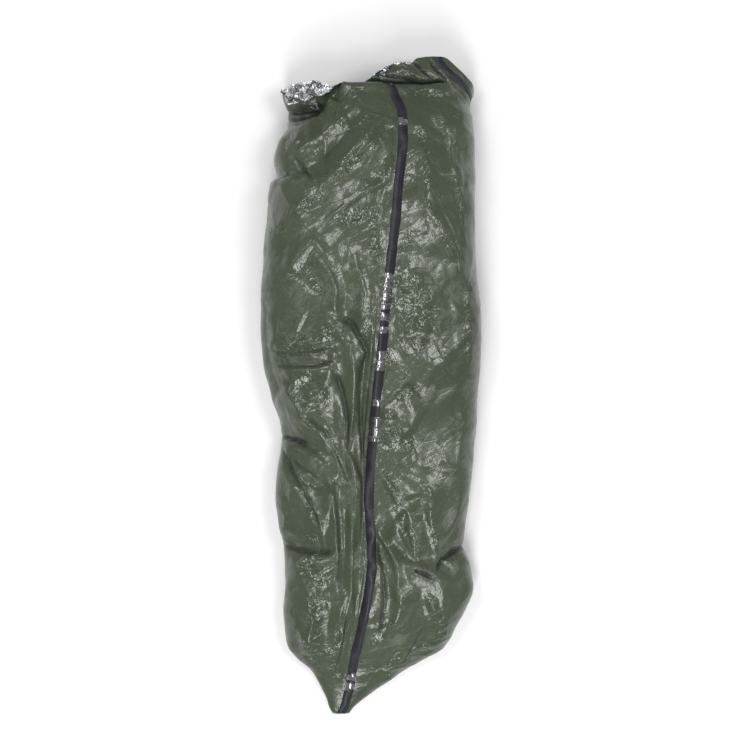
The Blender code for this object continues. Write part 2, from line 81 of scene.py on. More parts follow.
# %% [markdown]
# A filled bag is a tube whose girth changes along the body inside it. A cylinder could be pushed about
# until it looks right, but then no width is known. Here the tube is a row of sections, each with its two
# sides and its height. "seam" is where the upper seam lies, and "under" is how far along the film the
# second seam lies from the right-hand edge, minus where it runs under the bag. Toward the mouth it comes
# up round the right of the collar.

# %% Sections
Station = namedtuple("Station", "y left right seam height under")
STATIONS = [Station(*row) for row in (
    (-881, -104, -58, -80, 13, -24), (-865, -113, -46, -73, 18, -36), (-846, -119, -25, -67, 24, -52),
    (-804, -138, 32, -57, 38, -100), (-761, -161, 93, -50, 56, -150), (-729, -198, 151, -45, 74, -195),
    (-698, -222, 199, -38, 92, -235), (-645, -233, 228, -26, 119, -262), (-592, -237, 255, -16, 141, -280),
    (-533, -233, 273, -5, 153, -290), (-470, -233, 263, 3, 160, -290), (-417, -236, 248, 2, 154, -285),
    (-364, -245, 252, -1, 162, -285), (-295, -257, 263, -5, 170, -290), (-226, -254, 271, -2, 168, -295),
    (-152, -242, 277, 3, 162, -298), (-93, -246, 281, 8, 166, -300), (-19, -270, 286, 16, 181, -302),
    (76, -289, 294, 27, 200, -302), (172, -294, 292, 36, 213, -300), (267, -291, 285, 45, 222, -295),
    (394, -283, 279, 60, 232, -285), (487, -277, 277, 69, 236, -265), (545, -268, 276, 74, 232, -240),
    (562, -250, 276, 76, 231, -230), (606, -256, 276, 81, 227, -200), (654, -246, 276, 84, 220, -155),
    (691, -222, 274, 84, 210, -110), (723, -225, 273, 81, 199, -65), (755, -230, 266, 69, 184, -15),
    (786, -237, 276, 53, 167, 40), (810, -238, 277, 40, 159, 66), (835, -238, 277, 28, 153, 98),
    (860, -238, 277, 19, 149, 128), (885, -238, 277, 14, 146, 146),
)]
print(len(STATIONS), "sections over", STATIONS[-1].y - STATIONS[0].y, "mm")

# %% [markdown]
# The mouth is not straight: the film is gathered at the right and turned back at the left. A cut through
# a straight tube would leave a ragged edge. So the mouth is a table, by place across the bag from its
# left edge at -1 to its right edge at 1: where the shoulder ends, where the upper layer's rim is, where
# the lower layer ends, and how much film is turned back as a cuff.

# %% The mouth
Mouth = namedtuple("Mouth", "share crease rim lower cuff")
MOUTH = [Mouth(*row) for row in (
    (-1.00, 782, 798, 776, 30), (-0.90, 795, 810, 785, 50), (-0.80, 798, 816, 790, 43),
    (-0.72, 800, 818, 793, 56), (-0.62, 797, 814, 796, 40), (-0.52, 792, 808, 799, 22),
    (-0.42, 787, 804, 802, 7), (-0.33, 782, 802, 806, 0), (-0.18, 781, 802, 822, 0),
    (-0.10, 784, 812, 838, 0), (0.00, 788, 841, 850, 0),
    (0.12, 790, 862, 860, 0), (0.25, 791, 874, 864, 0), (0.40, 790, 873, 858, 0),
    (0.55, 791, 877, 846, 0), (0.66, 793, 877, 834, 0), (0.80, 796, 856, 818, 0), (0.92, 798, 830, 803, 0),
    (1.00, 790, 806, 792, 0),
)]
print("the cuff turns back by up to", max(row.cuff for row in MOUTH), "mm")

# %% [markdown]
# Limbs push the film out in long folds, and between them it is pulled in. A cloth simulation can make
# folds, but soft and inflated ones. So each main fold is listed one by one and named for where it lies on
# the wearer: how far it stands proud, or lies low with a minus, its half-width, and its line as it is seen
# from above. A few parts are also thrown sideways over their neighbours, and have a shift in all three
# directions.

# %% Main folds
Fold = namedtuple("Fold", "name lift width route")


def folds(table):
    return [Fold(name, lift, width, route) for name, (lift, width, *route) in table.items()]


FOLDS = folds({
    "chest band": (14, 24, (65, 660), (10, 610), (-70, 565), (-140, 505), (-215, 445)),
    "shoulder ridge": (13, 17, (-85, 705), (-140, 650), (-200, 600)),
    "shoulder trough": (-13, 17, (-45, 690), (-105, 620), (-165, 572)),
    "chest trough": (-17, 26, (55, 575), (-40, 500), (-135, 440), (-215, 380), (-260, 335)),
    "chest ridge": (12, 16, (50, 540), (-25, 500), (-85, 455), (-140, 400), (-220, 300)),
    "rib ridge": (14, 16, (-150, 395), (-110, 335), (-90, 260), (-85, 185)),
    "rib trough": (-13, 18, (-60, 395), (-55, 290), (-70, 195)),
    "rib ridge by seam": (12, 14, (-30, 330), (-20, 245), (-25, 180)),
    "upper trough": (-17, 16, (-85, 185), (-50, 165), (-10, 85), (-20, 35), (-25, -30)),
    "long trough": (-19, 14, (-25, -30), (-25, -150), (-20, -275), (-25, -400), (-30, -535)),
    "foot trough": (-13, 13, (-30, -535), (-50, -625), (-62, -730), (-84, -825)),
    "long ridge": (16, 14, (-55, 115), (-40, 25), (-50, -100), (-60, -150), (-38, -270)),
    "shin ridge": (14, 13, (-38, -270), (-44, -400), (-52, -535), (-72, -625), (-82, -720)),
    "second trough": (-14, 14, (-85, 20), (-72, -150), (-64, -275), (-70, -425), (-76, -560)),
    "belt ridge": (12, 13, (-265, 105), (-160, 105), (-70, 115)),
    "belt trough": (-13, 13, (-265, 80), (-175, 78), (-95, 85)),
    "lower belt ridge": (8, 12, (-240, 52), (-150, 58), (-80, 65)),
    "thigh ridge": (13, 17, (-235, 10), (-160, -80), (-95, -170)),
    "waist pinch": (-16, 13, (-250, -130), (-190, -143), (-130, -172)),
    "waist ridge": (10, 12, (-240, -158), (-165, -165), (-112, -212)),
    "knee trough": (-12, 16, (-235, -178), (-195, -235), (-150, -262), (-108, -250)),
    "knee ridge": (12, 15, (-225, -205), (-180, -280), (-135, -340), (-125, -390)),
    "shin ridge outside": (12, 14, (-102, -262), (-92, -340), (-88, -440)),
    "calf pinch": (-14, 15, (-240, -422), (-175, -436), (-95, -435)),
    "calf ridge": (16, 22, (-172, -505), (-145, -600), (-160, -690)),
    "shoulder fold, right": (13, 20, (85, 700), (122, 680), (145, 610), (150, 475)),
    "flank fold, right": (12, 20, (150, 475), (195, 390), (252, 265)),
    "hip mound": (12, 32, (75, 260), (115, 210), (155, 140)),
    "packing crease": (6, 9, (15, -190), (100, -190), (268, -214)),
    "thigh fold, right": (13, 17, (30, -230), (70, -305), (105, -390), (125, -460)),
    "flank ridge, right": (10, 14, (150, -285), (160, -360), (178, -440)),
    "shin fold, right": (12, 15, (12, -355), (60, -450), (70, -525)),
    "shin trough, right": (-14, 16, (20, -400), (45, -470), (52, -545), (38, -665)),
    "right pinch": (-17, 15, (250, -412), (212, -440), (170, -482)),
    "knot ridge": (13, 13, (172, -490), (90, -462)),
    "ankle fold": (12, 17, (168, -492), (195, -560), (200, -650)),
    "instep ridge": (12, 14, (68, -520), (82, -570), (52, -655)),
    "instep trough": (-12, 18, (140, -560), (148, -660), (125, -735)),
    "elbow notch": (-10, 13, (-275, 560), (-210, 556), (-155, 565)),
    "side trough under cuff": (-15, 11, (-245, 722), (-205, 714), (-160, 722), (-130, 742)),
    "side strip": (8, 9, (-235, 742), (-195, 735), (-150, 744)),
    "lower side trough": (-10, 9, (-230, 692), (-190, 694), (-150, 706)),
    "collar crease": (-11, 12, (-90, 790), (-15, 792), (60, 790), (150, 786), (215, 800)),
    "collar step": (-8, 9, (95, 866), (172, 850), (208, 834), (232, 812), (250, 782)),
})

Throw = namedtuple("Throw", "name x y z width route")
THROWS = (
    Throw("collar billow", -5, -4, 9, 25, ((40, 834), (105, 840), (160, 842), (205, 828))),
    Throw("edge of the body", 0, 13, 7, 13, ((-70, 782), (0, 785), (62, 786), (140, 783), (205, 790))),
    Throw("lap over the tape", -46, -4, 13, 19, ((80, 806), (77, 828))),
)
THROW_CREST = 2.8  # exponent of a thrown part's profile
print(len(FOLDS), "main folds and", len(THROWS), "thrown parts")

# %% [markdown]
# Between its folds loose film still rises and falls in long, low swells. They could be sculpted, but a
# few sine waves that cross each other do the same and never repeat within the bag's length.

# %% Slack film
Slack = namedtuple("Slack", "lift length heading start")
SLACK = (
    Slack(2.6, 231, 24, 0.0),
    Slack(2.2, 147, 71, 1.3),
    Slack(1.7, 98, 118, 2.9),
    Slack(1.3, 77, 152, 4.4),
)
print(len(SLACK), "swells, up to", SLACK[0].lift, "mm high")

# %% [markdown]
# On top of the folds lie single sharp creases, where the film is pulled between two points. Each one
# shows as a bright line with a dark one beside it. A bump in the material would vanish at the outline, so
# they are lines in the mesh like the folds, only narrow.

# %% Sharp creases
CREASES = folds({
    "neck V": (-5, 7, (-62, 710), (-50, 685), (-40, 662)),
    "neck fold": (-6, 9, (-52, 756), (-20, 730), (10, 714), (40, 702), (68, 704)),
    "shoulder edge": (5, 7, (-86, 690), (-125, 663), (-158, 634), (-192, 604)),
    "shoulder lower edge": (-4, 7, (-196, 604), (-170, 569), (-160, 554)),
    "band crest": (5, 8, (66, 698), (20, 673), (-15, 645), (-50, 606), (-80, 570), (-129, 524)),
    "band second": (4, 8, (68, 663), (27, 632), (-6, 583), (-51, 550), (-110, 524)),
    "by the tape, upper": (5, 7, (65, 650), (39, 583), (33, 546)),
    "chest crest": (7, 7, (40, 535), (-28, 498), (-86, 457), (-103, 440)),
    "chest tail": (4, 7, (-155, 498), (-181, 468), (-222, 435), (-266, 409)),
    "chest facet, low": (4, 8, (-86, 455), (-62, 420), (-28, 435), (16, 438)),
    "chest facet, side": (4, 7, (31, 524), (9, 464), (5, 420)),
    "rib crest": (6, 7, (-145, 399), (-151, 372), (-177, 336), (-222, 306)),
    "rib low": (4, 8, (-233, 293), (-192, 279), (-162, 253), (-132, 234)),
    "rib curve": (5, 7, (-151, 349), (-121, 323), (-97, 290), (-90, 262), (-92, 211), (-86, 185)),
    "rib inner": (4, 6, (-43, 353), (-32, 308), (-13, 250), (-20, 204)),
    "by the tape, middle": (4, 6, (24, 416), (20, 364), (24, 308), (22, 271)),
    "off the tape": (4, 6, (35, 483), (27, 438), (-2, 383), (9, 334)),
    "right of the neck": (5, 7, (122, 712), (132, 680), (145, 643), (154, 606)),
    "right chest": (4, 7, (135, 583), (145, 546), (154, 505)),
    "right band": (6, 7, (148, 472), (172, 435), (198, 386), (225, 338), (247, 282)),
    "right band, outer": (4, 6, (180, 483), (202, 442), (228, 379), (247, 312)),
    "collar a": (6, 6, (82, 856), (112, 828), (140, 806)),
    "collar b": (6, 6, (142, 868), (160, 842), (190, 816)),
    "collar c": (5, 6, (20, 836), (45, 822), (78, 806)),
    "collar short": (4, 6, (137, 741), (169, 728), (198, 708)),
    "right belly": (4, 7, (102, 312), (132, 279), (172, 230)),
    "right belly, by the tape": (4, 7, (106, 386), (80, 357), (72, 323)),
    "right belly, outer": (3, 7, (172, 331), (146, 301), (132, 271)),
    "belt a": (-6, 7, (-274, 103), (-214, 90), (-140, 95), (-58, 114)),
    "belt b": (-7, 7, (-240, 58), (-214, 58), (-147, 62), (-95, 73)),
    "belt c": (5, 7, (-233, 40), (-192, 49), (-140, 47), (-95, 54)),
    "belt fan": (5, 7, (-65, 114), (-121, 106), (-177, 129), (-211, 136)),
    "belt fan top": (5, 7, (-69, 129), (-88, 159), (-110, 177)),
    "belt left": (5, 7, (-274, 103), (-251, 140), (-248, 155)),
    "rib to belt": (5, 6, (-166, 207), (-181, 177), (-203, 136), (-214, 106)),
    "dark bend": (-9, 9, (-88, 185), (-51, 173), (-32, 136), (-6, 92), (-23, 58), (-32, 25)),
    "dark bend, low": (-6, 7, (-32, 25), (-30, -39), (-25, -113), (-19, -180)),
    "triangle edge": (5, 7, (9, 207), (-13, 181), (-36, 155)),
    "triangle side": (4, 6, (-36, 155), (-21, 121), (-4, 92)),
    "long ridge, top": (5, 6, (-56, 118), (-45, 77), (-36, 25), (-43, -20)),
    "long ridge, middle": (7, 6, (-43, -39), (-47, -76), (-52, -105), (-58, -143)),
    "second dark": (-7, 8, (-97, 40), (-80, 0), (-65, -50), (-62, -102), (-62, -161)),
    "patch low edge": (6, 7, (-222, 10), (-199, -31), (-181, -72), (-140, -105), (-110, -124)),
    "thigh crest": (6, 6, (-110, -143), (-95, -175), (-77, -220), (-54, -263)),
    "thigh inner crest": (6, 6, (-62, -163), (-43, -203), (-28, -247), (-21, -292)),
    "pinch line": (4, 6, (-237, -139), (-181, -148), (-125, -176)),
    "beside the triangle": (4, 6, (-4, 92), (-23, 54), (-25, 17), (-2, 2)),
    "diamond top": (5, 7, (76, 140), (106, 138), (137, 138), (154, 125)),
    "diamond left": (4, 6, (76, 140), (87, 118), (113, 99)),
    "diamond middle": (5, 6, (137, 136), (124, 114), (145, 92), (158, 69)),
    "roof": (7, 6, (57, -26), (96, 8), (128, -31)),
    "roof inner": (4, 6, (102, -5), (98, -31), (113, -57)),
    "glints": (4, 6, (35, -113), (68, -117), (102, -113)),
    "glints, lower": (4, 6, (35, -146), (46, -128), (72, -124), (76, -139)),
    "net a": (4, 6, (61, 159), (83, 192), (117, 192), (106, 166)),
    "net b": (4, 6, (65, 274), (87, 244), (113, 240)),
    "net c": (4, 6, (132, 229), (150, 203), (180, 196)),
    "net d": (4, 6, (154, 248), (176, 211), (161, 173), (184, 136)),
    "net e": (4, 6, (76, 248), (68, 218), (91, 203)),
    "net f": (4, 6, (128, 244), (139, 270), (165, 278)),
    "flank a": (5, 8, (196, 700), (212, 630), (220, 560)),
    "flank b": (5, 8, (232, 545), (240, 450), (246, 360)),
    "flank c": (5, 8, (250, 250), (258, 150), (258, 50)),
    "flank d": (-3, 5, (208, 250), (220, 130), (214, 10)),
    "flank e": (5, 8, (232, -30), (238, -110), (230, -190)),
    "neck a": (5, 7, (-126, 776), (-92, 748), (-58, 735)),
    "neck b": (-5, 6, (-100, 772), (-74, 742), (-70, 712)),
    "neck c": (5, 7, (-60, 775), (-48, 745), (-20, 722)),
    "right crest": (4, 6, (31, -76), (46, -65), (65, -79)),
    "packing, upright": (-2, 4, (104, -72), (106, -131), (112, -213)),
    "packing, across": (-3, 4, (9, -192), (83, -192), (132, -197), (195, -206), (273, -210)),
    "packing, aslant": (3, 4, (251, -279), (225, -337), (198, -396)),
    "waist line a": (-7, 7, (-237, -173), (-207, -236), (-166, -303), (-136, -366)),
    "waist line b": (5, 6, (-229, -166), (-188, -225), (-158, -259)),
    "waist bright": (6, 6, (-184, -244), (-166, -299), (-136, -337), (-125, -381)),
    "star a": (4, 6, (-101, -255), (-106, -292), (-121, -374)),
    "star b": (6, 6, (-99, -260), (-93, -337), (-86, -430)),
    "star c": (-5, 7, (-103, -251), (-140, -259), (-177, -247), (-203, -214)),
    "star d": (-5, 6, (-99, -247), (-80, -231), (-65, -203)),
    "long crest": (6, 5, (-54, -281), (-49, -366), (-51, -470), (-47, -575), (-45, -638)),
    "long crest by the tape": (5, 6, (-28, -296), (-17, -344), (-10, -396)),
    "crest beside the tape": (5, 6, (-12, -418), (-28, -467), (-23, -508), (-32, -571), (-43, -638)),
    "knee crest": (7, 8, (27, -231), (57, -259), (68, -296), (96, -322), (104, -381), (124, -463)),
    "knee crest, inner": (4, 6, (74, -366), (91, -400), (115, -452)),
    "knee crest, outer": (6, 7, (150, -296), (154, -344), (172, -400), (176, -448)),
    "knee cross": (6, 6, (94, -296), (128, -285), (165, -277)),
    "knee cross, upper": (4, 6, (106, -236), (135, -251), (161, -273)),
    "knee top": (5, 7, (68, -206), (72, -224), (87, -236)),
    "shin crest": (7, 6, (13, -374), (35, -407), (63, -452), (72, -508), (68, -537)),
    "pinch, top": (-7, 7, (180, -448), (206, -433), (254, -430)),
    "pinch, low": (5, 6, (184, -463), (171, -489), (191, -549)),
    "knot a": (5, 6, (124, -470), (150, -482), (172, -493)),
    "knot b": (5, 6, (124, -470), (128, -493), (158, -511), (176, -496)),
    "foot crest": (8, 8, (145, -545), (169, -593), (187, -638), (202, -671)),
    "foot crest, outer": (4, 6, (158, -530), (184, -549), (189, -601)),
    "instep crest": (8, 8, (59, -534), (80, -571), (57, -619), (35, -668)),
    "instep short": (5, 6, (87, -614), (61, -627), (42, -638)),
    "instep middle": (4, 6, (124, -541), (109, -571)),
    "calf top": (5, 7, (-170, -562), (-140, -556), (-103, -563)),
    "calf crest": (8, 8, (-162, -567), (-151, -615), (-162, -664), (-166, -716)),
    "calf a": (5, 6, (-203, -459), (-188, -489), (-173, -519)),
    "calf b": (5, 6, (-173, -463), (-151, -500), (-140, -537)),
    "calf c": (5, 6, (-95, -470), (-92, -515), (-65, -545), (-88, -630), (-58, -671)),
    "calf pinch, low": (-6, 7, (-229, -404), (-196, -430), (-140, -433), (-84, -430)),
    "edge loop": (4, 6, (-244, -318), (-225, -333), (-227, -366), (-237, -389)),
    "toe": (4, 7, (143, -694), (169, -671), (206, -664)),
    "left foot": (4, 6, (-188, -630), (-177, -675)),
    "tuck beside the tape": (
        4, 4, (25, 267), (16, 172), (7, 76), (-4, -19), (-12, -93), (-17, -152), (-22, -226),
    ),
    "tuck beside the tape, low": (4, 4, (-25, -295), (-21, -364), (-18, -417), (-17, -470), (-25, -533)),
})
print(len(CREASES), "sharp creases")

# %% [markdown]
# Where the film is tucked in or overlaps itself it leaves narrow dark gaps. Real overlaps would need more
# layers of film than can be seen. So a gap is a deep narrow groove, with shade painted dark into the film's
# colour at the bottom of it, where the finish is also duller.

# %% Gaps
GAPS = folds({
    "under the cuff": (-26, 15, (-236, 742), (-205, 731), (-165, 736), (-128, 754)),
    "under the strip": (-14, 6, (-236, 716), (-200, 708), (-165, 712), (-135, 730)),
    "under the collar, left": (-9, 5, (-92, 792), (-50, 797), (-5, 800)),
    "under the collar": (-20, 8, (-15, 802), (60, 804), (150, 800), (205, 806)),
    "dark bend": (-5, 6, (-88, 185), (-51, 170), (-28, 132), (-8, 92), (-24, 54), (-30, 0)),
    "long dark line": (-4, 4, (-30, 0), (-27, -113), (-19, -200), (-24, -300), (-20, -420)),
    "second dark line": (-5, 6, (-95, 40), (-76, -10), (-64, -90), (-62, -165)),
    "waist pinch": (-9, 5, (-262, -122), (-232, -134), (-205, -138), (-170, -150)),
    "waist, slanted": (-5, 4, (-240, -160), (-205, -230), (-160, -300), (-132, -365)),
    "waist, second slant": (-4, 4, (-236, -170), (-190, -205), (-140, -240)),
    "calf pinch": (-6, 5, (-246, -420), (-215, -428), (-160, -432), (-100, -432)),
    "knot": (-8, 6, (110, -478), (135, -486), (160, -500)),
    "right pinch": (-8, 5, (258, -420), (225, -432), (190, -450), (172, -480)),
    "belt": (-4, 4, (-262, 100), (-214, 84), (-150, 88), (-80, 104)),
    "belt, low": (-5, 4, (-240, 55), (-200, 56), (-147, 60), (-98, 72)),
    "foot, slanted": (-4, 4, (135, -637), (112, -690), (87, -735)),
    "collar, dark": (-7, 5, (58, 850), (92, 824), (122, 803)),
    "collar, second dark": (-6, 5, (118, 862), (142, 838), (172, 812)),
    "collar, third dark": (-5, 4, (160, 866), (180, 846), (206, 820)),
    "foot by the tape": (-4, 4, (-62, -600), (-74, -680), (-96, -760)),
    "armhole": (-5, 4, (-196, 604), (-170, 569), (-150, 540)),
    "shin by the tape": (-5, 5, (14, -400), (30, -470), (36, -560), (24, -650)),
    "long crease, left": (-4, 4, (-92, -262), (-84, -340), (-80, -440), (-84, -540)),
    "beside the tape, left": (
        -3, 3, (20, 267), (11, 172), (2, 76), (-9, -19), (-17, -93), (-22, -152), (-27, -226),
    ),
})
print(len(GAPS), "gaps")

# %% [markdown]
# The tape is stiffer than the film and buckles in short ripples across itself. The tape could be rippled
# alone, but then it would part from the film. So the ripples are lines across the seam that lift the film
# and the tape together.

# %% Ripples in the tape
RIPPLES = [Fold("ripple", *row) for row in (
    (1.0, 4, ((62, 698), (100, 693))),
    (1.6, 4, ((30, 292), (64, 288))),
    (2.2, 4, ((28, 268), (62, 262))),
    (-2.0, 4, ((26, 250), (60, 249))),
    (2.6, 5, ((24, 232), (60, 238))),
    (-2.0, 4, ((24, 214), (58, 219))),
    (2.4, 5, ((20, 190), (54, 184))),
    (1.8, 4, ((16, 150), (50, 156))),
    (2.6, 5, ((12, 92), (46, 86))),
    (-2.0, 4, ((10, 72), (44, 72))),
    (2.0, 4, ((6, 54), (42, 58))),
    (1.6, 3, ((-4, -36), (32, -40))),
    (2.4, 5, ((-8, -84), (26, -80))),
    (-2.0, 4, ((-10, -104), (24, -108))),
    (2.4, 5, ((-12, -128), (22, -132))),
    (2.2, 4, ((-66, -778), (-34, -772))),
    (2.0, 4, ((-72, -806), (-42, -800))),
)]
print(len(RIPPLES), "ripples in the tape")

# %% [markdown]
# Film that has been squeezed in the hand is crumpled in patches, and smooth between them. The same
# crumple all over would look like crushed paper. So each row is one patch: its middle, its half-length
# and half-width, and the way it points.

# %% Crumpled patches
Patch = namedtuple("Patch", "x y long wide heading")
PATCHES = [Patch(*row) for row in (
    (-28, 613, 140, 24, 41), (46, 576, 38, 13, 75), (-36, 446, 46, 20, 15), (7, 418, 28, 17, 70),
    (-177, 312, 50, 19, 35), (-140, 265, 36, 15, -50), (-203, 553, 40, 14, 0), (-203, 643, 25, 20, 40),
    (-244, 416, 28, 11, 0), (-159, 483, 50, 10, 38), (135, 650, 40, 9, -75), (145, 550, 32, 9, -80),
    (195, 390, 110, 12, -62), (150, 773, 55, 8, 0), (9, 364, 50, 14, -85), (94, 383, 30, 10, 60),
    (102, 271, 55, 36, -40), (120, 205, 52, 52, 0), (113, 106, 38, 24, 0), (-166, 110, 92, 24, 5),
    (-159, -5, 50, 46, -80), (-140, -100, 42, 12, -35), (-13, 155, 36, 13, 60), (-118, 140, 32, 17, 70),
    (94, -9, 32, 15, 20), (53, 84, 24, 17, -60), (72, -131, 44, 32, 0), (46, -68, 18, 10, 0),
    (87, -344, 132, 13, -67), (161, -370, 75, 9, -80), (150, -482, 28, 16, -20), (57, -601, 66, 14, 60),
    (176, -604, 70, 14, -70), (165, -686, 34, 12, 20), (-151, -625, 88, 22, 88), (-147, -485, 55, 34, -60),
    (-77, -645, 50, 15, 80), (-159, -392, 26, 14, 0), (-151, -333, 36, 11, -50), (210, -456, 18, 10, 0),
    (-165, -700, 60, 18, 95), (30, -640, 60, 14, 65), (190, -640, 60, 14, -70), (120, -715, 50, 16, 35),
    (-100, -745, 60, 14, -70), (60, -740, 60, 13, 75), (95, 838, 70, 14, -20), (190, 830, 40, 10, -50),
    (-60, 740, 50, 22, 30), (-115, 742, 46, 16, 48), (-72, 694, 40, 16, -55), (-10, 700, 50, 12, 20),
    (230, 560, 120, 9, -85), (250, 180, 110, 9, 88),
)]
CALM = 0.22  # how strong the crumple is between the patches, against inside them
print(len(PATCHES), "crumpled patches")

# %% [markdown]
# Crumpled film keeps flat facets with sharp edges between them. Smooth noise would make it look like
# dough. So the dents are scattered points joined by sheets of triangles, at three sizes.

# %% Dents
Dents = namedtuple("Dents", "spacing lift stretch heading seed everywhere")
DENTS = (  # "everywhere" is the share of its lift that a dent has outside the crumpled patches
    Dents(92, 8.5, 1.8, 96, 3, 0.8),
    Dents(40, 4.8, 1.9, 52, 5, 0.25),
    Dents(22, 2.6, 1.9, 128, 8, 0.15),
)
DENT_JITTER = 0.42  # how far a dent is moved off its place in the even pattern, in spacings
DENT_LEAST = 0.2  # the least share of its lift that a dent keeps
DENT_ABOVE = 50  # well above every dent, where the rays that feel for the sheet start
print(len(DENTS), "sizes of dents, from", DENTS[0].spacing, "to", DENTS[-1].spacing, "mm apart")

# %% [markdown]
# Each table gives a few values, and the film has to run smoothly through them. A common spline swings
# past its points and would make bulges. So there are two helpers: a smooth step, and a curve through a
# table's values that never overshoots them.

# %% Curve helpers
def smoothstep(low, high, value):
    share = np.clip((value - low) / (high - low), 0.0, 1.0)
    return share * share * (3.0 - 2.0 * share)


def through(places, values, at):
    places = np.asarray(places, float)
    values = np.asarray(values, float)
    steps = np.diff(places)
    slopes = np.diff(values) / steps
    tangents = np.zeros(len(values))
    tangents[0], tangents[-1] = slopes[0], slopes[-1]
    same_way = slopes[:-1] * slopes[1:] > 0
    weight_a = 2 * steps[1:] + steps[:-1]
    weight_b = steps[1:] + 2 * steps[:-1]
    before = np.where(same_way, slopes[:-1], 1.0)
    after = np.where(same_way, slopes[1:], 1.0)
    mean = (weight_a + weight_b) / (weight_a / before + weight_b / after)
    tangents[1:-1] = np.where(same_way, mean, 0.0)
    at = np.clip(at, places[0], places[-1])
    spot = np.clip(np.searchsorted(places, at, side="right") - 1, 0, len(steps) - 1)
    share = (at - places[spot]) / steps[spot]
    risen = share * share * (3 - 2 * share)
    near = (1 + 2 * share) * (1 - share) ** 2 * values[spot] + risen * values[spot + 1]
    lean = share * (1 - share) ** 2 * tangents[spot] - share * share * (1 - share) * tangents[spot + 1]
    return near + lean * steps[spot]


def station_value(name, y):
    places = [row.y * MM for row in STATIONS]
    return through(places, [getattr(row, name) * MM for row in STATIONS], y)


def mouth_value(name, share):
    return through([row.share for row in MOUTH], [getattr(row, name) * MM for row in MOUTH], share)

# %% [markdown]
# One section of the tube is flat on the ground, tucked in below its widest line, and rounded above it. An
# ellipse would be simpler, but a body fills the bag more than that, so the upper part has a higher
# exponent. The columns of the grid are shared out along the film: close beside the upper seam, and sparse
# underneath, where nothing shows.

# %% Sections of the tube
SIDE_SHARE = 0.36  # height of the bag's widest line, as a share of its height
UNDERCUT = 0.85  # how far the side tucks in below that line, as a share of the line's height
TUCK_MOST = 0.6  # the most that it tucks in, as a share of half the width
FULLNESS = 2.25  # exponent of the upper outline: 2 is an ellipse, more is squarer
OUTLINE_STEPS = 90  # points along each quarter of a section
PLACE_STEPS = 900  # steps in which the columns are shared out round a section
LEVEL = 0.01 * MM  # film this low lies on the ground
LEFT_COLUMNS = 124  # across each panel, between its tape columns
RIGHT_COLUMNS = 78
UNDER_DENSITY = 0.16  # columns per length under the bag, against the top
SEAM_DENSITY = 0.35  # how much closer the columns lie beside the upper seam
SEAM_REACH = 60 * MM
SECOND = LEFT_COLUMNS + 2  # first of the four columns at the second seam
SPLIT = LEFT_COLUMNS + 4  # first column of the right-hand panel


def section(y):
    left, right = station_value("left", y), station_value("right", y)
    height = station_value("height", y)
    middle, half = (left + right) / 2, (right - left) / 2
    waist = SIDE_SHARE * height
    tuck = min(UNDERCUT * waist, TUCK_MOST * half)
    turn = np.linspace(0.0, math.pi / 2, OUTLINE_STEPS)
    out = np.sin(turn) ** (2 / FULLNESS) * half
    up = waist + np.maximum(np.cos(turn), 0.0) ** (2 / FULLNESS) * (height - waist)
    out_low = half - tuck + tuck * np.cos(turn)
    up_low = waist * (1 - np.sin(turn))
    flat = np.linspace(half - tuck, 0.0, OUTLINE_STEPS)
    side_out = np.concatenate([out, out_low[1:], flat[1:]])
    side_up = np.concatenate([up, up_low[1:], np.zeros(OUTLINE_STEPS - 1)])
    x = np.concatenate([middle - side_out, (middle + side_out)[-2::-1]])
    z = np.concatenate([side_up, side_up[-2::-1]])
    return x, z


def tape_half_at(y):
    waves = sum(share * math.sin(y * turns + start) for share, turns, start in TAPE_WAVES)
    return TAPE_HALF + TAPE_WAVE * waves / sum(share for share, turns, start in TAPE_WAVES)


def column_places(y, half_tape):
    """Lengths along the section at y, from its crown down the left, at which the columns cross it."""
    x, z = section(y)
    run = np.concatenate([[0.0], np.cumsum(np.hypot(np.diff(x), np.diff(z)))])
    whole = run[-1]
    widest = OUTLINE_STEPS
    seam_x = station_value("seam", y)
    if seam_x <= x[0]:
        seam = np.interp(-seam_x, -x[:widest], run[:widest])
    else:
        seam = np.interp(seam_x, x[: -widest - 1 : -1], run[: -widest - 1 : -1]) - whole
    right_edge = run[np.argmax(x)]
    second = right_edge + station_value("under", y)
    density_at = np.linspace(seam, seam + whole, PLACE_STEPS)
    height_at = np.interp(density_at % whole, run, z)
    beside = np.minimum(density_at - seam, seam + whole - density_at)
    density = np.where(height_at < LEVEL, UNDER_DENSITY, 1.0)
    density = density * (1 + SEAM_DENSITY * np.exp(-((beside / SEAM_REACH) ** 2)))
    total = np.concatenate([[0.0], np.cumsum((density[1:] + density[:-1]) / 2 * np.diff(density_at))])

    def spread(start, end, count):
        low, high = np.interp([start, end], density_at, total)
        return np.interp(np.linspace(low, high, count + 2)[1:-1], total, density_at)

    tape = min(half_tape, TAPE_SHARE * (second - seam), TAPE_SHARE * (seam + whole - second))
    places = [seam + SEAM_GAP, seam + tape]
    places += list(spread(seam + tape, second - tape, LEFT_COLUMNS))
    places += [second - tape, second - SEAM_GAP, second + SEAM_GAP, second + tape]
    places += list(spread(second + tape, seam + whole - tape, RIGHT_COLUMNS))
    places += [seam + whole - tape, seam + whole - SEAM_GAP]
    return np.array(places) % whole, np.array(places) - seam


def film_line(y):
    """Every column's point on the smooth section at y, and how far round the film it lies from the seam."""
    x, z = section(y)
    run = np.concatenate([[0.0], np.cumsum(np.hypot(np.diff(x), np.diff(z)))])
    places, round_film = column_places(y, tape_half_at(y))
    points = np.stack([np.interp(places, run, x), np.full(len(places), y), np.interp(places, run, z)], axis=1)
    return points, round_film

# %% [markdown]
# The mouth isn't cut straight across, and part of it is turned back. A cuff made apart would show a join.
# So the grid runs on, and each column finds its own way up to the rim, and over it where there is a cuff.

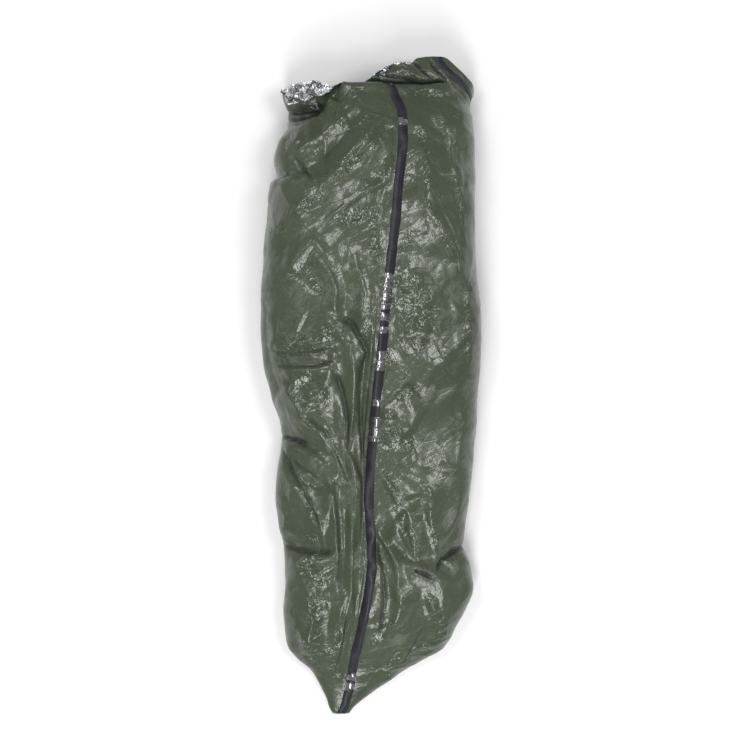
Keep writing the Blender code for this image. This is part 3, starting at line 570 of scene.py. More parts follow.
# %% Rows through the mouth
BODY_ROWS = 300
MOUTH_ROWS = 44
MOUTH_FROM = 735 * MM  # where the rows stop being straight across
MOUTH_SETTLE = 24  # rounds in which each column finds its own place at the rim
MOUTH_LEVELS = 60  # smooth sections worked out through the mouth; the rest are read between them
MOUTH_OVERLAP = 30 * MM  # how far below the mouth they begin
MOUTH_GUESS = 800 * MM  # where every column starts to look for its place
CREASE_SHARE = 0.35  # share of the mouth's rows that lie below its crease
CUFF_ROLL = 6 * MM  # radius of the fold where the cuff turns back
LIP_STAND = 13 * MM  # height of the lip where the cuff runs out into the plain rim
UPPER_BAND = (0.12, 0.40)  # heights, as shares, between which the lower edge turns into the upper rim
CUFF_BAND = (0.40, 0.72)  # heights, as shares, between which the cuff comes in at the side
CUFF_FULL = 18 * MM  # a cuff this long is turned back fully
TURNED_BAND = (0.3, 0.9)  # shares of the turn between which the film comes to count as turned back
ROW_BIAS = 0.012  # how much closer together the rows lie toward the foot and the mouth


@functools.lru_cache(maxsize=1)
def mouth_lines():
    levels = np.linspace(MOUTH_FROM - MOUTH_OVERLAP, STATIONS[-1].y * MM, MOUTH_LEVELS)
    return levels, np.array([film_line(level)[0] for level in levels])


def film_at(ys):
    """One point for each column, each at its own y."""
    levels, lines = mouth_lines()
    low, high = levels[0], levels[-1]
    columns = np.arange(lines.shape[1])
    found = []
    for row in ys:
        place = np.clip((row - low) / (high - low) * (len(levels) - 1), 0, len(levels) - 1.001)
        under = place.astype(int)
        share = (place - under)[:, None]
        found.append(lines[under, columns] * (1 - share) + lines[under + 1, columns] * share)
    return np.array(found)


def mouth_shape(ys):
    line = film_at(ys[None, :])[0]
    left, right = station_value("left", ys), station_value("right", ys)
    height = station_value("height", ys)
    share = (line[:, 0] - (left + right) / 2) / ((right - left) / 2)
    upper = smoothstep(*UPPER_BAND, line[:, 2] / height)
    cuff = mouth_value("cuff", share) * smoothstep(*CUFF_BAND, line[:, 2] / height)
    crease, rim, lower = (mouth_value(name, share) for name in ("crease", "rim", "lower"))
    return crease, rim, lower, cuff, upper


def mouth_row(along):
    """Each column's y, its lift off the body and how much it is turned back, at a share of the way up."""
    ys = np.full(LEFT_COLUMNS + RIGHT_COLUMNS + 8, MOUTH_GUESS)
    bend = math.pi * CUFF_ROLL
    for _ in range(MOUTH_SETTLE):
        crease, rim, lower, cuff, upper = mouth_shape(ys)
        turned = smoothstep(0.0, CUFF_FULL, cuff)
        below = MOUTH_FROM + (crease - MOUTH_FROM) * min(along / CREASE_SHARE, 1.0)
        past = max(along - CREASE_SHARE, 0.0) / (1 - CREASE_SHARE)
        plain = below + past * (rim - crease)
        travel = past * (cuff + bend)
        turning = np.minimum(travel, bend) / CUFF_ROLL
        folded = below + CUFF_ROLL * np.sin(turning) - np.maximum(travel - bend, 0.0)
        over = plain * (1 - turned) + folded * turned
        ys = (ys + over * upper + (MOUTH_FROM + along * (lower - MOUTH_FROM)) * (1 - upper)) / 2
    stand = LIP_STAND * past * 4 * turned * (1 - turned)
    back = turned * upper * smoothstep(*TURNED_BAND, turning / math.pi)
    return ys, (CUFF_ROLL * (1 - np.cos(turning)) * turned + stand) * upper, back


def grid_normals(grid):
    """Outward unit normals of a grid whose columns close round the bag, shared across both seams."""
    around = np.roll(grid, -1, axis=1) - np.roll(grid, 1, axis=1)
    along = np.empty_like(grid)
    along[1:-1] = grid[2:] - grid[:-2]
    along[0], along[-1] = grid[1] - grid[0], grid[-1] - grid[-2]
    normal = np.cross(along, around)
    normal /= np.maximum(np.linalg.norm(normal, axis=2, keepdims=True), 1e-12)
    for edge, other in ((0, -1), (SECOND + 1, SECOND + 2)):
        shared = normal[:, edge] + normal[:, other]
        shared /= np.linalg.norm(shared, axis=1, keepdims=True)
        normal[:, edge] = shared
        normal[:, other] = shared
    return normal


def base_grid():
    """Rows of points round the bag from foot to mouth, the film's length round it, and the turned part."""
    tip = STATIONS[0].y * MM
    even = np.linspace(0.0, 1.0, BODY_ROWS)
    body = tip + (MOUTH_FROM - tip) * (even - ROW_BIAS * np.sin(2 * math.pi * even))
    lines = [film_line(y) for y in body]
    rows = np.array([points for points, _ in lines])
    round_film = np.array([length for _, length in lines])
    mouth = [mouth_row(step / MOUTH_ROWS) for step in range(1, MOUTH_ROWS + 1)]
    ys = np.array([row[0] for row in mouth])
    lifts = np.array([row[1] for row in mouth])
    grid = np.concatenate([rows, film_at(ys)])
    normals = grid_normals(grid)
    grid[BODY_ROWS:] += normals[BODY_ROWS - 2] * lifts[..., None]
    around = np.concatenate([round_film, np.repeat(round_film[-1:], MOUTH_ROWS, axis=0)])
    back = np.concatenate([np.zeros((BODY_ROWS, grid.shape[1])), np.array([row[2] for row in mouth])])
    return grid, around, back

# %% [markdown]
# Folds, creases and dents all lift the film along its own normal. A crease in film is one-sided: a broad
# flat side that faces the light, and a short steep one behind the crest, and it fades at both ends. The
# same slope on both sides would look like a cord under the film. Film this thin keeps its folds lower
# than the solids do.

# %% Lifts of the film
FOLD_SHARE = 0.54  # a main fold's height on the film, against its height on the solid
CREASE_SHARE_UP = 0.8  # how much of its lift in the table a sharp crease has
SLACK_SHARE = 0.5  # and how much a swell has
FOOT_ROUND = 1.15  # exponent of a fold's sides: 1 is straight, more rounds their feet
FOLD_REACH = (3.2, 1.5)  # half-widths from a main fold's crest to the feet of its broad and its steep side
CREASE_REACH = (4.6, 1.3)
RIPPLE_REACH = (2.0, 2.0)
GAP_REACH = (1.8, 1.2)
DARK_DEPTH = 7  # a gap this deep, in millimetres, gets the full painted shade
DARK_WIDE = 1.9  # over 1, so that the painted shade is wider than the very bottom of the gap
FOLD_END = 0.14  # the share of a fold's length in which it fades, at each end
FOLD_END_LIFT = 0.35  # what is left of its height at the very end
PATCH_BAND = (1.4, 0.7)  # in patch sizes from its middle, where a patch begins and where it is full
LIT_SPLIT = 20  # in millimetres: a fold whose middle is left of this faces the upper left or the foot
LIGHT_WAYS = {  # the ways toward the lights, seen from above, that a fold on each side may face
    "left": ((-0.75, 0.66), (-0.23, -0.97)),
    "right": ((0.97, 0.24), (-0.23, -0.97), (-0.75, 0.66)),
}


def route_distance(x, y, route):
    """How far each point is from a line seen from above, the share along it, and which side it is on."""
    points = np.array(route, float) * MM
    lengths = np.linalg.norm(np.diff(points, axis=0), axis=1)
    whole = lengths.sum()
    nearest = np.full(x.shape, np.inf)
    share = np.zeros(x.shape)
    left = np.zeros(x.shape, bool)
    before = 0.0
    for start, end, length in zip(points[:-1], points[1:], lengths):
        run = (end - start) / length
        along = np.clip((x - start[0]) * run[0] + (y - start[1]) * run[1], 0.0, length)
        gap = np.hypot(x - start[0] - along * run[0], y - start[1] - along * run[1])
        closer = gap < nearest
        nearest = np.where(closer, gap, nearest)
        share = np.where(closer, (before + along) / whole, share)
        left = np.where(closer, (y - start[1]) * run[0] - (x - start[0]) * run[1] > 0, left)
        before += length
    return nearest, share, left


def broad_on_left(fold):
    """Whether a fold's broad side is on the left of its route, so that it faces the nearest light."""
    (x0, y0), (x1, y1) = fold.route[0], fold.route[-1]
    ways = LIGHT_WAYS["left" if (x0 + x1) / 2 < LIT_SPLIT else "right"]
    facing = max((-(y1 - y0) * way[0] + (x1 - x0) * way[1] for way in ways), key=abs)
    return (facing > 0) == (fold.lift > 0)


def fold_shape(x, y, fold, reach):
    """A fold's height at each point, as a share of its lift."""
    gap, share, left = route_distance(x, y, fold.route)
    wide = np.where(left == broad_on_left(fold), reach[0], reach[1]) * fold.width * MM
    shape = np.clip(1 - gap / wide, 0.0, 1.0) ** FOOT_ROUND
    fade = smoothstep(0.0, FOLD_END, share) * smoothstep(1.0, 1.0 - FOLD_END, share)
    return shape * (FOLD_END_LIFT + (1 - FOLD_END_LIFT) * fade)


def lines_lift(x, y, lines, reach):
    return sum(fold.lift * MM * fold_shape(x, y, fold, reach) for fold in lines)


def painted_shade_at(x, y):
    """Painted shade: 1 at the bottom of a gap, and 0 away from the gaps."""
    dark = []
    for gap in GAPS:
        shape = np.minimum(DARK_WIDE * fold_shape(x, y, gap, GAP_REACH), 1.0)
        dark.append(min(-gap.lift / DARK_DEPTH, 1.0) * shape)
    return np.max(dark, axis=0)


def slack_lift(x, y):
    lift = np.zeros(x.shape)
    for wave in SLACK:
        heading = math.radians(wave.heading)
        across = x * math.cos(heading) + y * math.sin(heading)
        lift += wave.lift * MM * np.sin(across / (wave.length * MM) * 2 * math.pi + wave.start)
    return lift


def crumpled(x, y):
    """How crumpled the film is at each point: from CALM to 1."""
    most = np.zeros(x.shape)
    for patch in PATCHES:
        heading = math.radians(patch.heading)
        off_x, off_y = x - patch.x * MM, y - patch.y * MM
        along = (off_x * math.cos(heading) + off_y * math.sin(heading)) / (patch.long * MM)
        across = (-off_x * math.sin(heading) + off_y * math.cos(heading)) / (patch.wide * MM)
        most = np.maximum(most, smoothstep(*PATCH_BAND, np.hypot(along, across)))
    return CALM + (1 - CALM) * most


def dent_lift(around, y, crumple):
    """Sheets of triangles between scattered dents, laid over the film as it is cut flat."""
    lift = np.zeros(y.shape)
    for dents in DENTS:
        luck = np.random.default_rng(dents.seed)
        heading = math.radians(dents.heading)
        along = (around * math.cos(heading) + y * math.sin(heading)) / (dents.stretch * dents.spacing * MM)
        across = (-around * math.sin(heading) + y * math.cos(heading)) / (dents.spacing * MM)
        low_a, low_b = along.min() - 2, across.min() - 2
        count_a, count_b = int(along.max() - low_a) + 4, int(across.max() - low_b) + 4
        a, b = np.meshgrid(np.arange(count_a), np.arange(count_b), indexing="ij")
        places = np.stack([a + low_a, b + low_b + 0.5 * (a % 2)], axis=-1).reshape(-1, 2)
        places = places + luck.uniform(-DENT_JITTER, DENT_JITTER, places.shape)
        heights = luck.normal(0, 1, len(places)) * luck.uniform(DENT_LEAST, 1.0, len(places))
        found = delaunay_2d_cdt([Vector(place) for place in places], [], [], 0, 1e-6)
        corners = zip(found[0], found[3])
        spots = [Vector((place[0], place[1], heights[origin[0]])) for place, origin in corners]
        sheet = BVHTree.FromPolygons(spots, found[2])
        down = Vector((0, 0, -1))
        spread = zip(along.ravel().tolist(), across.ravel().tolist())
        hits = [sheet.ray_cast(Vector((p, q, DENT_ABOVE)), down)[0] for p, q in spread]
        level = np.array([hit.z if hit else 0.0 for hit in hits]).reshape(y.shape)
        lift += level * dents.lift * MM * (dents.everywhere + (1 - dents.everywhere) * crumple)
    return lift

# %% [markdown]
# Under the bag the film lies flat, and the foot has little room. Lifting every point alike would push
# film through the ground. So the folds come in above the ground and shrink toward the foot, and the
# thrown parts and the curled rim come last, because they move the film sideways.

# %% Fold the film
COLLAR_FROM = 786 * MM  # from here to the mouth the height is taken as constant for the folds
FREE_BAND = (0.15, 0.7)  # heights, as shares, between which the folds come in
SMALL_BAND = (0.04, 0.75)  # heights, as shares, between which the creases and dents come in
FLOOR_BAND = (0.02, 0.16)  # heights, as shares, between which the film leaves the ground
FREE_FROM = 0.02  # film less free than this is held down on the ground
FULL_LIFT_FROM = 120 * MM  # height of the bag at which its folds have their full size
CUFF_ROWS = int(MOUTH_ROWS * 0.5)  # the rows past these, left of and above the next two, make the cuff
CUFF_RIGHT = -100 * MM
CUFF_ABOVE = 100 * MM
CALM_BESIDE_SEAM = 9 * MM  # the tape holds the film flat for this far each side of the seam
CREASED_FROM = 3 * CALM_BESIDE_SEAM  # past this distance the creases are at full strength
SEAM_CALM = 0.35  # how strong they are beside the seam
CUFF_CRUMPLE = 0.3  # how much stronger the dents are on the cuff
CURL_ROWS = 5  # rows of the rim that curl back
CURL_EVEN, CURL_SWAY = 0.82, 0.18  # shares of the curl that are even, and that come and go along the rim
CURL_LEFT = (-12 * MM, 6 * MM)  # where the curled rim comes in, and where it goes out again
CURL_RIGHT = (132 * MM, 100 * MM)
CURL_WAVE = 33  # length of one wave along the rim, in millimetres
CURL_LIFT = 7 * MM  # how far the curled edge stands off the film
CURL_BEND = 3 * MM  # how soon it reaches that
CURL_ABOVE = 80 * MM  # only the upper layer of the collar curls


def curled_rim(grid):
    """The collar's last rows turned back on themselves beside the tape, so that the bright face shows."""
    hinge = grid[-CURL_ROWS]
    x = hinge[:, 0]
    wave = CURL_EVEN + CURL_SWAY * np.sin(x / (CURL_WAVE * MM) * 2 * math.pi)
    turned = smoothstep(*CURL_LEFT, x) * smoothstep(*CURL_RIGHT, x) * (hinge[:, 2] > CURL_ABOVE) * wave
    past = grid[-CURL_ROWS:] - hinge
    curled = grid.copy()
    curled[-CURL_ROWS:, :, 1] -= 2 * turned * past[..., 1]
    curled[-CURL_ROWS:, :, 2] += turned * CURL_LIFT * (1 - np.exp(-past[..., 1] / CURL_BEND))
    return curled


def folded_grid():
    grid, around, back = base_grid()
    normals = grid_normals(grid)
    x, y, z = grid[..., 0], grid[..., 1], grid[..., 2]
    height = station_value("height", np.minimum(y, COLLAR_FROM))
    free = smoothstep(*FREE_BAND, z / height)
    small = smoothstep(*SMALL_BAND, z / height)
    lying = smoothstep(*FLOOR_BAND, z / height)
    room = np.minimum(1.0, height / FULL_LIFT_FROM)
    lift = FOLD_SHARE * lines_lift(x, y, FOLDS, FOLD_REACH) + SLACK_SHARE * slack_lift(x, y)
    rows = np.arange(len(grid))[:, None]
    on_cuff = (rows >= BODY_ROWS + CUFF_ROWS) & (x < CUFF_RIGHT) & (z > CUFF_ABOVE)
    lift = np.where(on_cuff, np.maximum(lift, 0.0), lift)
    beside = np.minimum(np.abs(around), np.abs(around[:, -1:] - around))
    calm = SEAM_CALM + (1 - SEAM_CALM) * smoothstep(CALM_BESIDE_SEAM, CREASED_FROM, beside)
    sharp = CREASE_SHARE_UP * lines_lift(x, y, CREASES, CREASE_REACH) + lines_lift(x, y, GAPS, GAP_REACH)
    crumple = np.maximum(crumpled(x, y), back)
    fine = (sharp + dent_lift(around, y, crumple) * (1 + CUFF_CRUMPLE * back)) * calm * small
    rise = (lift * free + fine) * room + lines_lift(x, y, RIPPLES, RIPPLE_REACH) * small
    grid = grid + normals * rise[..., None]
    for throw in THROWS:
        gap = route_distance(x, y, throw.route)[0]
        thrown = np.exp(-((gap / (throw.width * MM)) ** THROW_CREST)) * free * (rows >= BODY_ROWS)
        grid = grid + thrown[..., None] * np.array((throw.x, throw.y, throw.z)) * MM
    grid = curled_rim(grid)
    above = np.maximum(grid[..., 2], 0.0)
    grid[..., 2] = np.where(free < FREE_FROM, above * lying, above)
    taped = np.zeros(grid.shape[1], bool)
    taped[SECOND : SECOND + 4] = True
    grid[..., 2] = np.maximum(grid[..., 2], np.where(taped, TAPE_THICK + 2 * FIT_GAP, 0.0))
    grid[..., 0] -= BOX_MIDDLE[0]
    grid[..., 1] -= BOX_MIDDLE[1]
    # The second mark says where shade is painted dark into the film's colour: at the bottom of the gaps.
    marks = {"crumple": np.where(back > 0.5, 1.0, crumple), "painted_shade": painted_shade_at(x, y) * small}
    return grid, marks

# %% [markdown]
# Film and tape have two faces and an edge. A Solidify modifier could thicken a sheet, but here both faces
# are worked out anyway. So each piece is a closed sheet between two matching grids of points: its outer
# face, and its inner face, which takes the bright metallised finish on a panel.

# %% Sheets from grids
def place_in_scene(name, data):
    thing = bpy.data.objects.new(name, data)
    bpy.context.scene.collection.objects.link(thing)
    return thing


def closed_sheet(name, outer, inner, marks, materials):
    rows, columns = outer.shape[:2]
    points = np.concatenate([outer.reshape(-1, 3), inner.reshape(-1, 3)])
    top = np.arange(rows * columns).reshape(rows, columns)
    low = top + rows * columns

    def triangles(a, b, c, d):
        """Two triangles for each quad, split along the shorter diagonal so that a crest stays sharp."""
        a, b, c, d = (side.ravel() for side in (a, b, c, d))
        a_to_c = np.linalg.norm(points[a] - points[c], axis=1)
        b_to_d = np.linalg.norm(points[b] - points[d], axis=1)
        one_way = a_to_c <= b_to_d
        first = np.where(one_way[:, None], np.stack([a, b, c], 1), np.stack([a, b, d], 1))
        other = np.where(one_way[:, None], np.stack([a, c, d], 1), np.stack([b, c, d], 1))
        return np.concatenate([first, other])

    faces = [
        triangles(top[:-1, :-1], top[1:, :-1], top[1:, 1:], top[:-1, 1:]),
        triangles(top[:-1, 0], low[:-1, 0], low[1:, 0], top[1:, 0]),
        triangles(top[:-1, -1], top[1:, -1], low[1:, -1], low[:-1, -1]),
        triangles(top[0, :-1], top[0, 1:], low[0, 1:], low[0, :-1]),
        triangles(top[-1, :-1], low[-1, :-1], low[-1, 1:], top[-1, 1:]),
        triangles(low[:-1, :-1], low[:-1, 1:], low[1:, 1:], low[1:, :-1]),
    ]
    inside = np.arange(sum(map(len, faces))) >= sum(map(len, faces[:-1]))
    mesh = bpy.data.meshes.new(name)
    mesh.from_pydata(points.tolist(), [], np.concatenate(faces).tolist())
    mesh.shade_smooth()
    for mark, values in marks.items():
        mesh.attributes.new(mark, "FLOAT", "POINT").data.foreach_set("value", np.tile(values.ravel(), 2))
    for material in materials:
        mesh.materials.append(material)
    if len(materials) > 1:
        mesh.polygons.foreach_set("material_index", inside.astype(np.int32))
    mesh.update()
    piece = place_in_scene(name, mesh)
    print(name, len(mesh.polygons), "triangles")
    return piece

# %% [markdown]
# Each finish is a tree of nodes. They could be wired one by one, with much repeated. These helpers add a
# node with its inputs, and the few kinds that are used again and again, so that a finish reads in the
# order in which it works.

# %% Node helpers
GREY = (0.5, 0.5, 0.5)  # the middle of a random colour, taken off it so that it points every way


def new_finish(name):
    material = bpy.data.materials.new(name)
    material.use_nodes = True
    tree = material.node_tree
    return material, tree, tree.nodes["Principled BSDF"]


def node(tree, kind, inputs=None, **settings):
    made = tree.nodes.new(kind)
    for key, value in settings.items():
        setattr(made, key, value)
    for key, value in (inputs or {}).items():
        if isinstance(value, bpy.types.NodeSocket):
            tree.links.new(value, made.inputs[key])
        else:
            made.inputs[key].default_value = value
    return made


def ramp(tree, factor, stops):
    made = node(tree, "ShaderNodeValToRGB", {"Fac": factor})
    elements = made.color_ramp.elements
    while len(elements) < len(stops):
        elements.new(0.5)
    for element, (place, colour) in zip(elements, stops):
        element.position = place
        element.color = colour
    return made.outputs["Color"]


def reckon(tree, operation, first, second):
    return node(tree, "ShaderNodeMath", {0: first, 1: second}, operation=operation).outputs["Value"]


def reckon_vector(tree, operation, first, second):
    return node(tree, "ShaderNodeVectorMath", {0: first, 1: second}, operation=operation).outputs["Vector"]


def spread_of(tree, factor, low, high):
    """A factor of 0 to 1 turned into a value from low to high."""
    inputs = {"Value": factor, "To Min": low, "To Max": high}
    return node(tree, "ShaderNodeMapRange", inputs).outputs["Result"]

# %% [markdown]
# The film is olive polythene with a glossy skin, its colour clouding a little. Where it is crumpled it
# breaks the light into small facets, and between the patches it is calmer and duller. A painted texture
# could hold that, but nodes stay sharp close up. So facets of three sizes and two nets of thin lines are
# laid one on another, all drawn out longer one way. The mark "crumple" on the mesh says where they are
# strong, and the second mark says where shade is painted dark into the film's colour, in the gaps.

# %% Olive film
FILM_DEEP = (0.032, 0.047, 0.024, 1.0)
FILM_PALE = (0.046, 0.063, 0.035, 1.0)
FILM_SHADE = (0.006, 0.009, 0.005, 1.0)  # painted shade at the bottom of a gap
FILM_CLOUDS = 5.0  # pale and deep clouds, per metre
FILM_STOPS = ((0.3, FILM_DEEP), (0.7, FILM_PALE))
RAGGED_SCALE = 18.0
RAGGED = 1.1  # how far noise breaks up the edges of the crumpled patches
CRUMPLED_FROM, CRUMPLED_FULL = 0.34, 1.05
CALM_ROUGHNESS, CRUMPLED_ROUGHNESS = 0.33, 0.24
PAINTED_SHADE_ROUGHNESS = 0.6  # added where shade is painted, at the bottom of a gap, where nothing shines
CALM_STRENGTH = 0.36  # of the facets between the patches, against inside them
FILM_BENT = (9.0, 0.02)
FILM_IOR = 1.5
FILM_COAT, FILM_COAT_ROUGHNESS = 0.4, 0.11

Facets = namedtuple("Facets", "heading long scale depth")
FILM_FACETS = (  # heading in degrees, how far drawn out along it, facets per metre, depth
    Facets(70.0, 2.0, 15.0, 0.16),
    Facets(58.0, 2.2, 36.0, 0.30),
    Facets(-38.0, 2.4, 90.0, 0.26),
)
Lines = namedtuple("Lines", "heading long scale wide depth")
FILM_LINES = (  # the same, with the width of the line as a share of a cell
    Lines(30.0, 3.2, 50.0, 0.11, 0.0056),
    Lines(112.0, 3.0, 118.0, 0.14, 0.0020),
)


def bump(tree, height, distance, strength, onto=None):
    inputs = {"Height": height, "Distance": distance, "Strength": strength}
    if onto is not None:
        inputs["Normal"] = onto
    return node(tree, "ShaderNodeBump", inputs).outputs["Normal"]


def bent(tree, place, scale, reach):
    """The place moved about by noise, so that no edge of a pattern runs straight."""
    wander = node(tree, "ShaderNodeTexNoise", {"Vector": place, "Scale": scale, "Detail": 2.0})
    shift = reckon_vector(tree, "SUBTRACT", wander.outputs["Color"], GREY)
    size = node(tree, "ShaderNodeVectorMath", {0: shift, "Scale": reach}, operation="SCALE")
    return reckon_vector(tree, "ADD", place, size.outputs["Vector"])


def grooves(tree, place, scale, wide):
    """Thin creases: 0 along the lines between cells, level inside them."""
    cells = node(tree, "ShaderNodeTexVoronoi", {"Vector": place, "Scale": scale}, feature="DISTANCE_TO_EDGE")
    return reckon(tree, "MINIMUM", cells.outputs["Distance"], wide)


def planes(tree, place, scale):
    """Flat facets, each tilted its own way: the height of a point over its own cell's middle."""
    cells = node(tree, "ShaderNodeTexVoronoi", {"Vector": place, "Scale": scale})
    off = reckon_vector(tree, "SUBTRACT", place, cells.outputs["Position"])
    tilt = reckon_vector(tree, "SUBTRACT", cells.outputs["Color"], GREY)
    return node(tree, "ShaderNodeVectorMath", {0: off, 1: tilt}, operation="DOT_PRODUCT").outputs["Value"]


def stretched(tree, place, heading, long):
    """The place squeezed along a heading, so that a pattern comes out longer that way."""
    inputs = {"Vector": place, "Rotation": (0.0, 0.0, math.radians(heading)), "Scale": (long, 1.0, 1.0)}
    return node(tree, "ShaderNodeMapping", inputs, vector_type="TEXTURE").outputs["Vector"]


def make_olive():
    material, tree, shader = new_finish("olive_film")
    place = node(tree, "ShaderNodeTexCoord").outputs["Object"]
    clouds = node(tree, "ShaderNodeTexNoise", {"Vector": place, "Scale": FILM_CLOUDS, "Detail": 4.0})
    colour = ramp(tree, clouds.outputs["Fac"], FILM_STOPS)
    # Shade painted dark into the colour at the bottom of the gaps, where the mesh is marked.
    painted_shade = node(tree, "ShaderNodeAttribute", attribute_name="painted_shade").outputs["Fac"]
    mixed = node(tree, "ShaderNodeMixRGB", {"Fac": painted_shade, "Color1": colour, "Color2": FILM_SHADE})
    tree.links.new(mixed.outputs["Color"], shader.inputs["Base Color"])

    crumple = node(tree, "ShaderNodeAttribute", attribute_name="crumple").outputs["Fac"]
    noise = node(tree, "ShaderNodeTexNoise", {"Vector": place, "Scale": RAGGED_SCALE, "Detail": 4.0})
    broken = reckon(tree, "MULTIPLY", reckon(tree, "SUBTRACT", noise.outputs["Fac"], 0.5), RAGGED)
    ragged = reckon(tree, "ADD", crumple, broken)
    edges = {"Value": ragged, "From Min": CRUMPLED_FROM, "From Max": CRUMPLED_FULL}
    patchy = node(tree, "ShaderNodeMapRange", edges).outputs["Result"]
    dull = spread_of(tree, patchy, CALM_ROUGHNESS, CRUMPLED_ROUGHNESS)
    duller = reckon(tree, "ADD", dull, reckon(tree, "MULTIPLY", painted_shade, PAINTED_SHADE_ROUGHNESS))
    tree.links.new(duller, shader.inputs["Roughness"])

    strong = spread_of(tree, patchy, CALM_STRENGTH, 1.0)
    moved = bent(tree, place, *FILM_BENT)
    normal = None
    for facets in FILM_FACETS:
        height = planes(tree, stretched(tree, moved, facets.heading, facets.long), facets.scale)
        normal = bump(tree, height, facets.depth, 1.0 if normal is None else strong, normal)
    for lines in FILM_LINES:
        height = grooves(tree, stretched(tree, moved, lines.heading, lines.long), lines.scale, lines.wide)
        normal = bump(tree, height, lines.depth, strong, normal)
    tree.links.new(normal, shader.inputs["Normal"])
    tree.links.new(normal, shader.inputs["Coat Normal"])
    shader.inputs["IOR"].default_value = FILM_IOR
    shader.inputs["Coat Weight"].default_value = FILM_COAT
    shader.inputs["Coat Roughness"].default_value = FILM_COAT_ROUGHNESS
    return material

# %% [markdown]
# The tape is black polythene, stuck down by hand: duller than the film where it lies flat, and bright
# where it has buckled. One finish can't be both. So there are two of the same colour: a plain one, and a
# second with deeper buckles and a high IOR, which makes them glint almost white.

# %% Black tape
TAPE_BLACK = (0.016, 0.017, 0.022, 1.0)
TAPE_WORN = (0.026, 0.027, 0.034, 1.0)
TAPE_STOPS = ((0.35, TAPE_BLACK), (0.75, TAPE_WORN))
TAPE_SCUFFS = 26.0
TAPE_BENT = (14.0, 0.01)
TAPE_HEADING, TAPE_LONG, TAPE_BUCKLES = 4.0, 3.6, 92.0

TapeFinish = namedtuple("TapeFinish", "name roughness ior tilt")
PLAIN_TAPE = TapeFinish("black_tape", 0.45, 1.4, 0.10)
BUCKLED_TAPE = TapeFinish("rippled_tape", 0.16, 3.2, 0.40)


def make_tape(finish):
    material, tree, shader = new_finish(finish.name)
    place = node(tree, "ShaderNodeTexCoord").outputs["Object"]
    scuffs = node(tree, "ShaderNodeTexNoise", {"Vector": place, "Scale": TAPE_SCUFFS, "Detail": 5.0})
    tree.links.new(ramp(tree, scuffs.outputs["Fac"], TAPE_STOPS), shader.inputs["Base Color"])
    moved = stretched(tree, bent(tree, place, *TAPE_BENT), TAPE_HEADING, TAPE_LONG)
    tree.links.new(bump(tree, planes(tree, moved, TAPE_BUCKLES), finish.tilt, 1.0), shader.inputs["Normal"])
    shader.inputs["Roughness"].default_value = finish.roughness
    shader.inputs["IOR"].default_value = finish.ior
    return material

# %% [markdown]
# The inner face is metallised: bright, and crumpled like kitchen foil. A plain metal would only mirror
# the pale room and look grey. So its facets are tilted, and each is painted darker or brighter, as painted
# reflections of dark and bright surroundings.

# %% Metallised inner face
FOIL_DARK = (0.22, 0.23, 0.25, 1.0)
FOIL_MID = (0.68, 0.69, 0.72, 1.0)
FOIL_BRIGHT = (0.94, 0.95, 0.97, 1.0)
FOIL_STOPS = ((0.12, FOIL_DARK), (0.4, FOIL_MID), (0.75, FOIL_BRIGHT))
FOIL_ROUGHNESS = 0.18
FOIL_BENT = (40.0, 0.03)  # scale and reach of the noise that bends the facets' edges
FOIL_CELLS = 75.0  # patches of one painted reflection brightness, per metre
FOIL_FACETS = (60.0, 110.0)  # facets per metre, coarse and fine
FOIL_TILT = 1.4


def make_foil():
    material, tree, shader = new_finish("metallised_face")
    shader.inputs["Metallic"].default_value = 1.0
    shader.inputs["Roughness"].default_value = FOIL_ROUGHNESS
    place = node(tree, "ShaderNodeTexCoord").outputs["Object"]
    moved = bent(tree, place, *FOIL_BENT)
    cells = node(tree, "ShaderNodeTexVoronoi", {"Vector": moved, "Scale": FOIL_CELLS})
    # Each facet's colour is a painted reflection: darker or brighter at random, for the dark and bright
    # things a foil would mirror.
    painted_reflection = node(tree, "ShaderNodeSeparateColor", {"Color": cells.outputs["Color"]}).outputs["Red"]
    tree.links.new(ramp(tree, painted_reflection, FOIL_STOPS), shader.inputs["Base Color"])
    normal = None
    for scale in FOIL_FACETS:
        normal = bump(tree, planes(tree, moved, scale), FOIL_TILT, 1.0, normal)
    tree.links.new(normal, shader.inputs["Normal"])
    return material

# %% [markdown]
# The bag is made from two panels that meet at the seams. They could be modelled apart, but then their
# edges would hardly match. So both are cut from the one folded grid, after the film has been raised
# wherever its inner face would be below the ground.

# %% Panels
grid, marks = folded_grid()
print("grid of", grid.shape[0], "rows by", grid.shape[1], "columns")
normals = grid_normals(grid)
olive, foil = make_olive(), make_foil()
black, glossed = make_tape(PLAIN_TAPE), make_tape(BUCKLED_TAPE)
inner = grid - normals * FILM_THICK
sunk = np.maximum(-np.minimum(grid[..., 2], inner[..., 2]), 0.0)
grid[..., 2] += sunk
inner[..., 2] += sunk
left_marks = {mark: values[:, :SPLIT] for mark, values in marks.items()}
right_marks = {mark: values[:, SPLIT:] for mark, values in marks.items()}
film = [olive, foil]
panel_left = closed_sheet("film_panel_left", grid[:, :SPLIT], inner[:, :SPLIT], left_marks, film)
panel_right = closed_sheet("film_panel_right", grid[:, SPLIT:], inner[:, SPLIT:], right_marks, film)

# %% [markdown]
# Each tape is a strip over a seam. A strip laid along a curve would cut through the folds. So it takes
# the grid's own columns beside the seam, a hair above the film. The upper tape is turned under at the
# pointed foot.

# %% Tapes
RIPPLE_FADE = 18 * MM  # this far from a ripple the tape is plain again
RIPPLE_FULL = 0.4 * RIPPLE_FADE
SIDE_FROM = 8  # first row of the second tape
TIP_WRAP = 26 * MM  # length of tape turned under at the tip
TIP_HALF = 11 * MM  # half its width there
TIP_AIM_ROW = 5  # the row that the turned end lines up with
TIP_BEND = (0.55, 0.7)  # heights of the tape's two upper bends at the tip, as shares


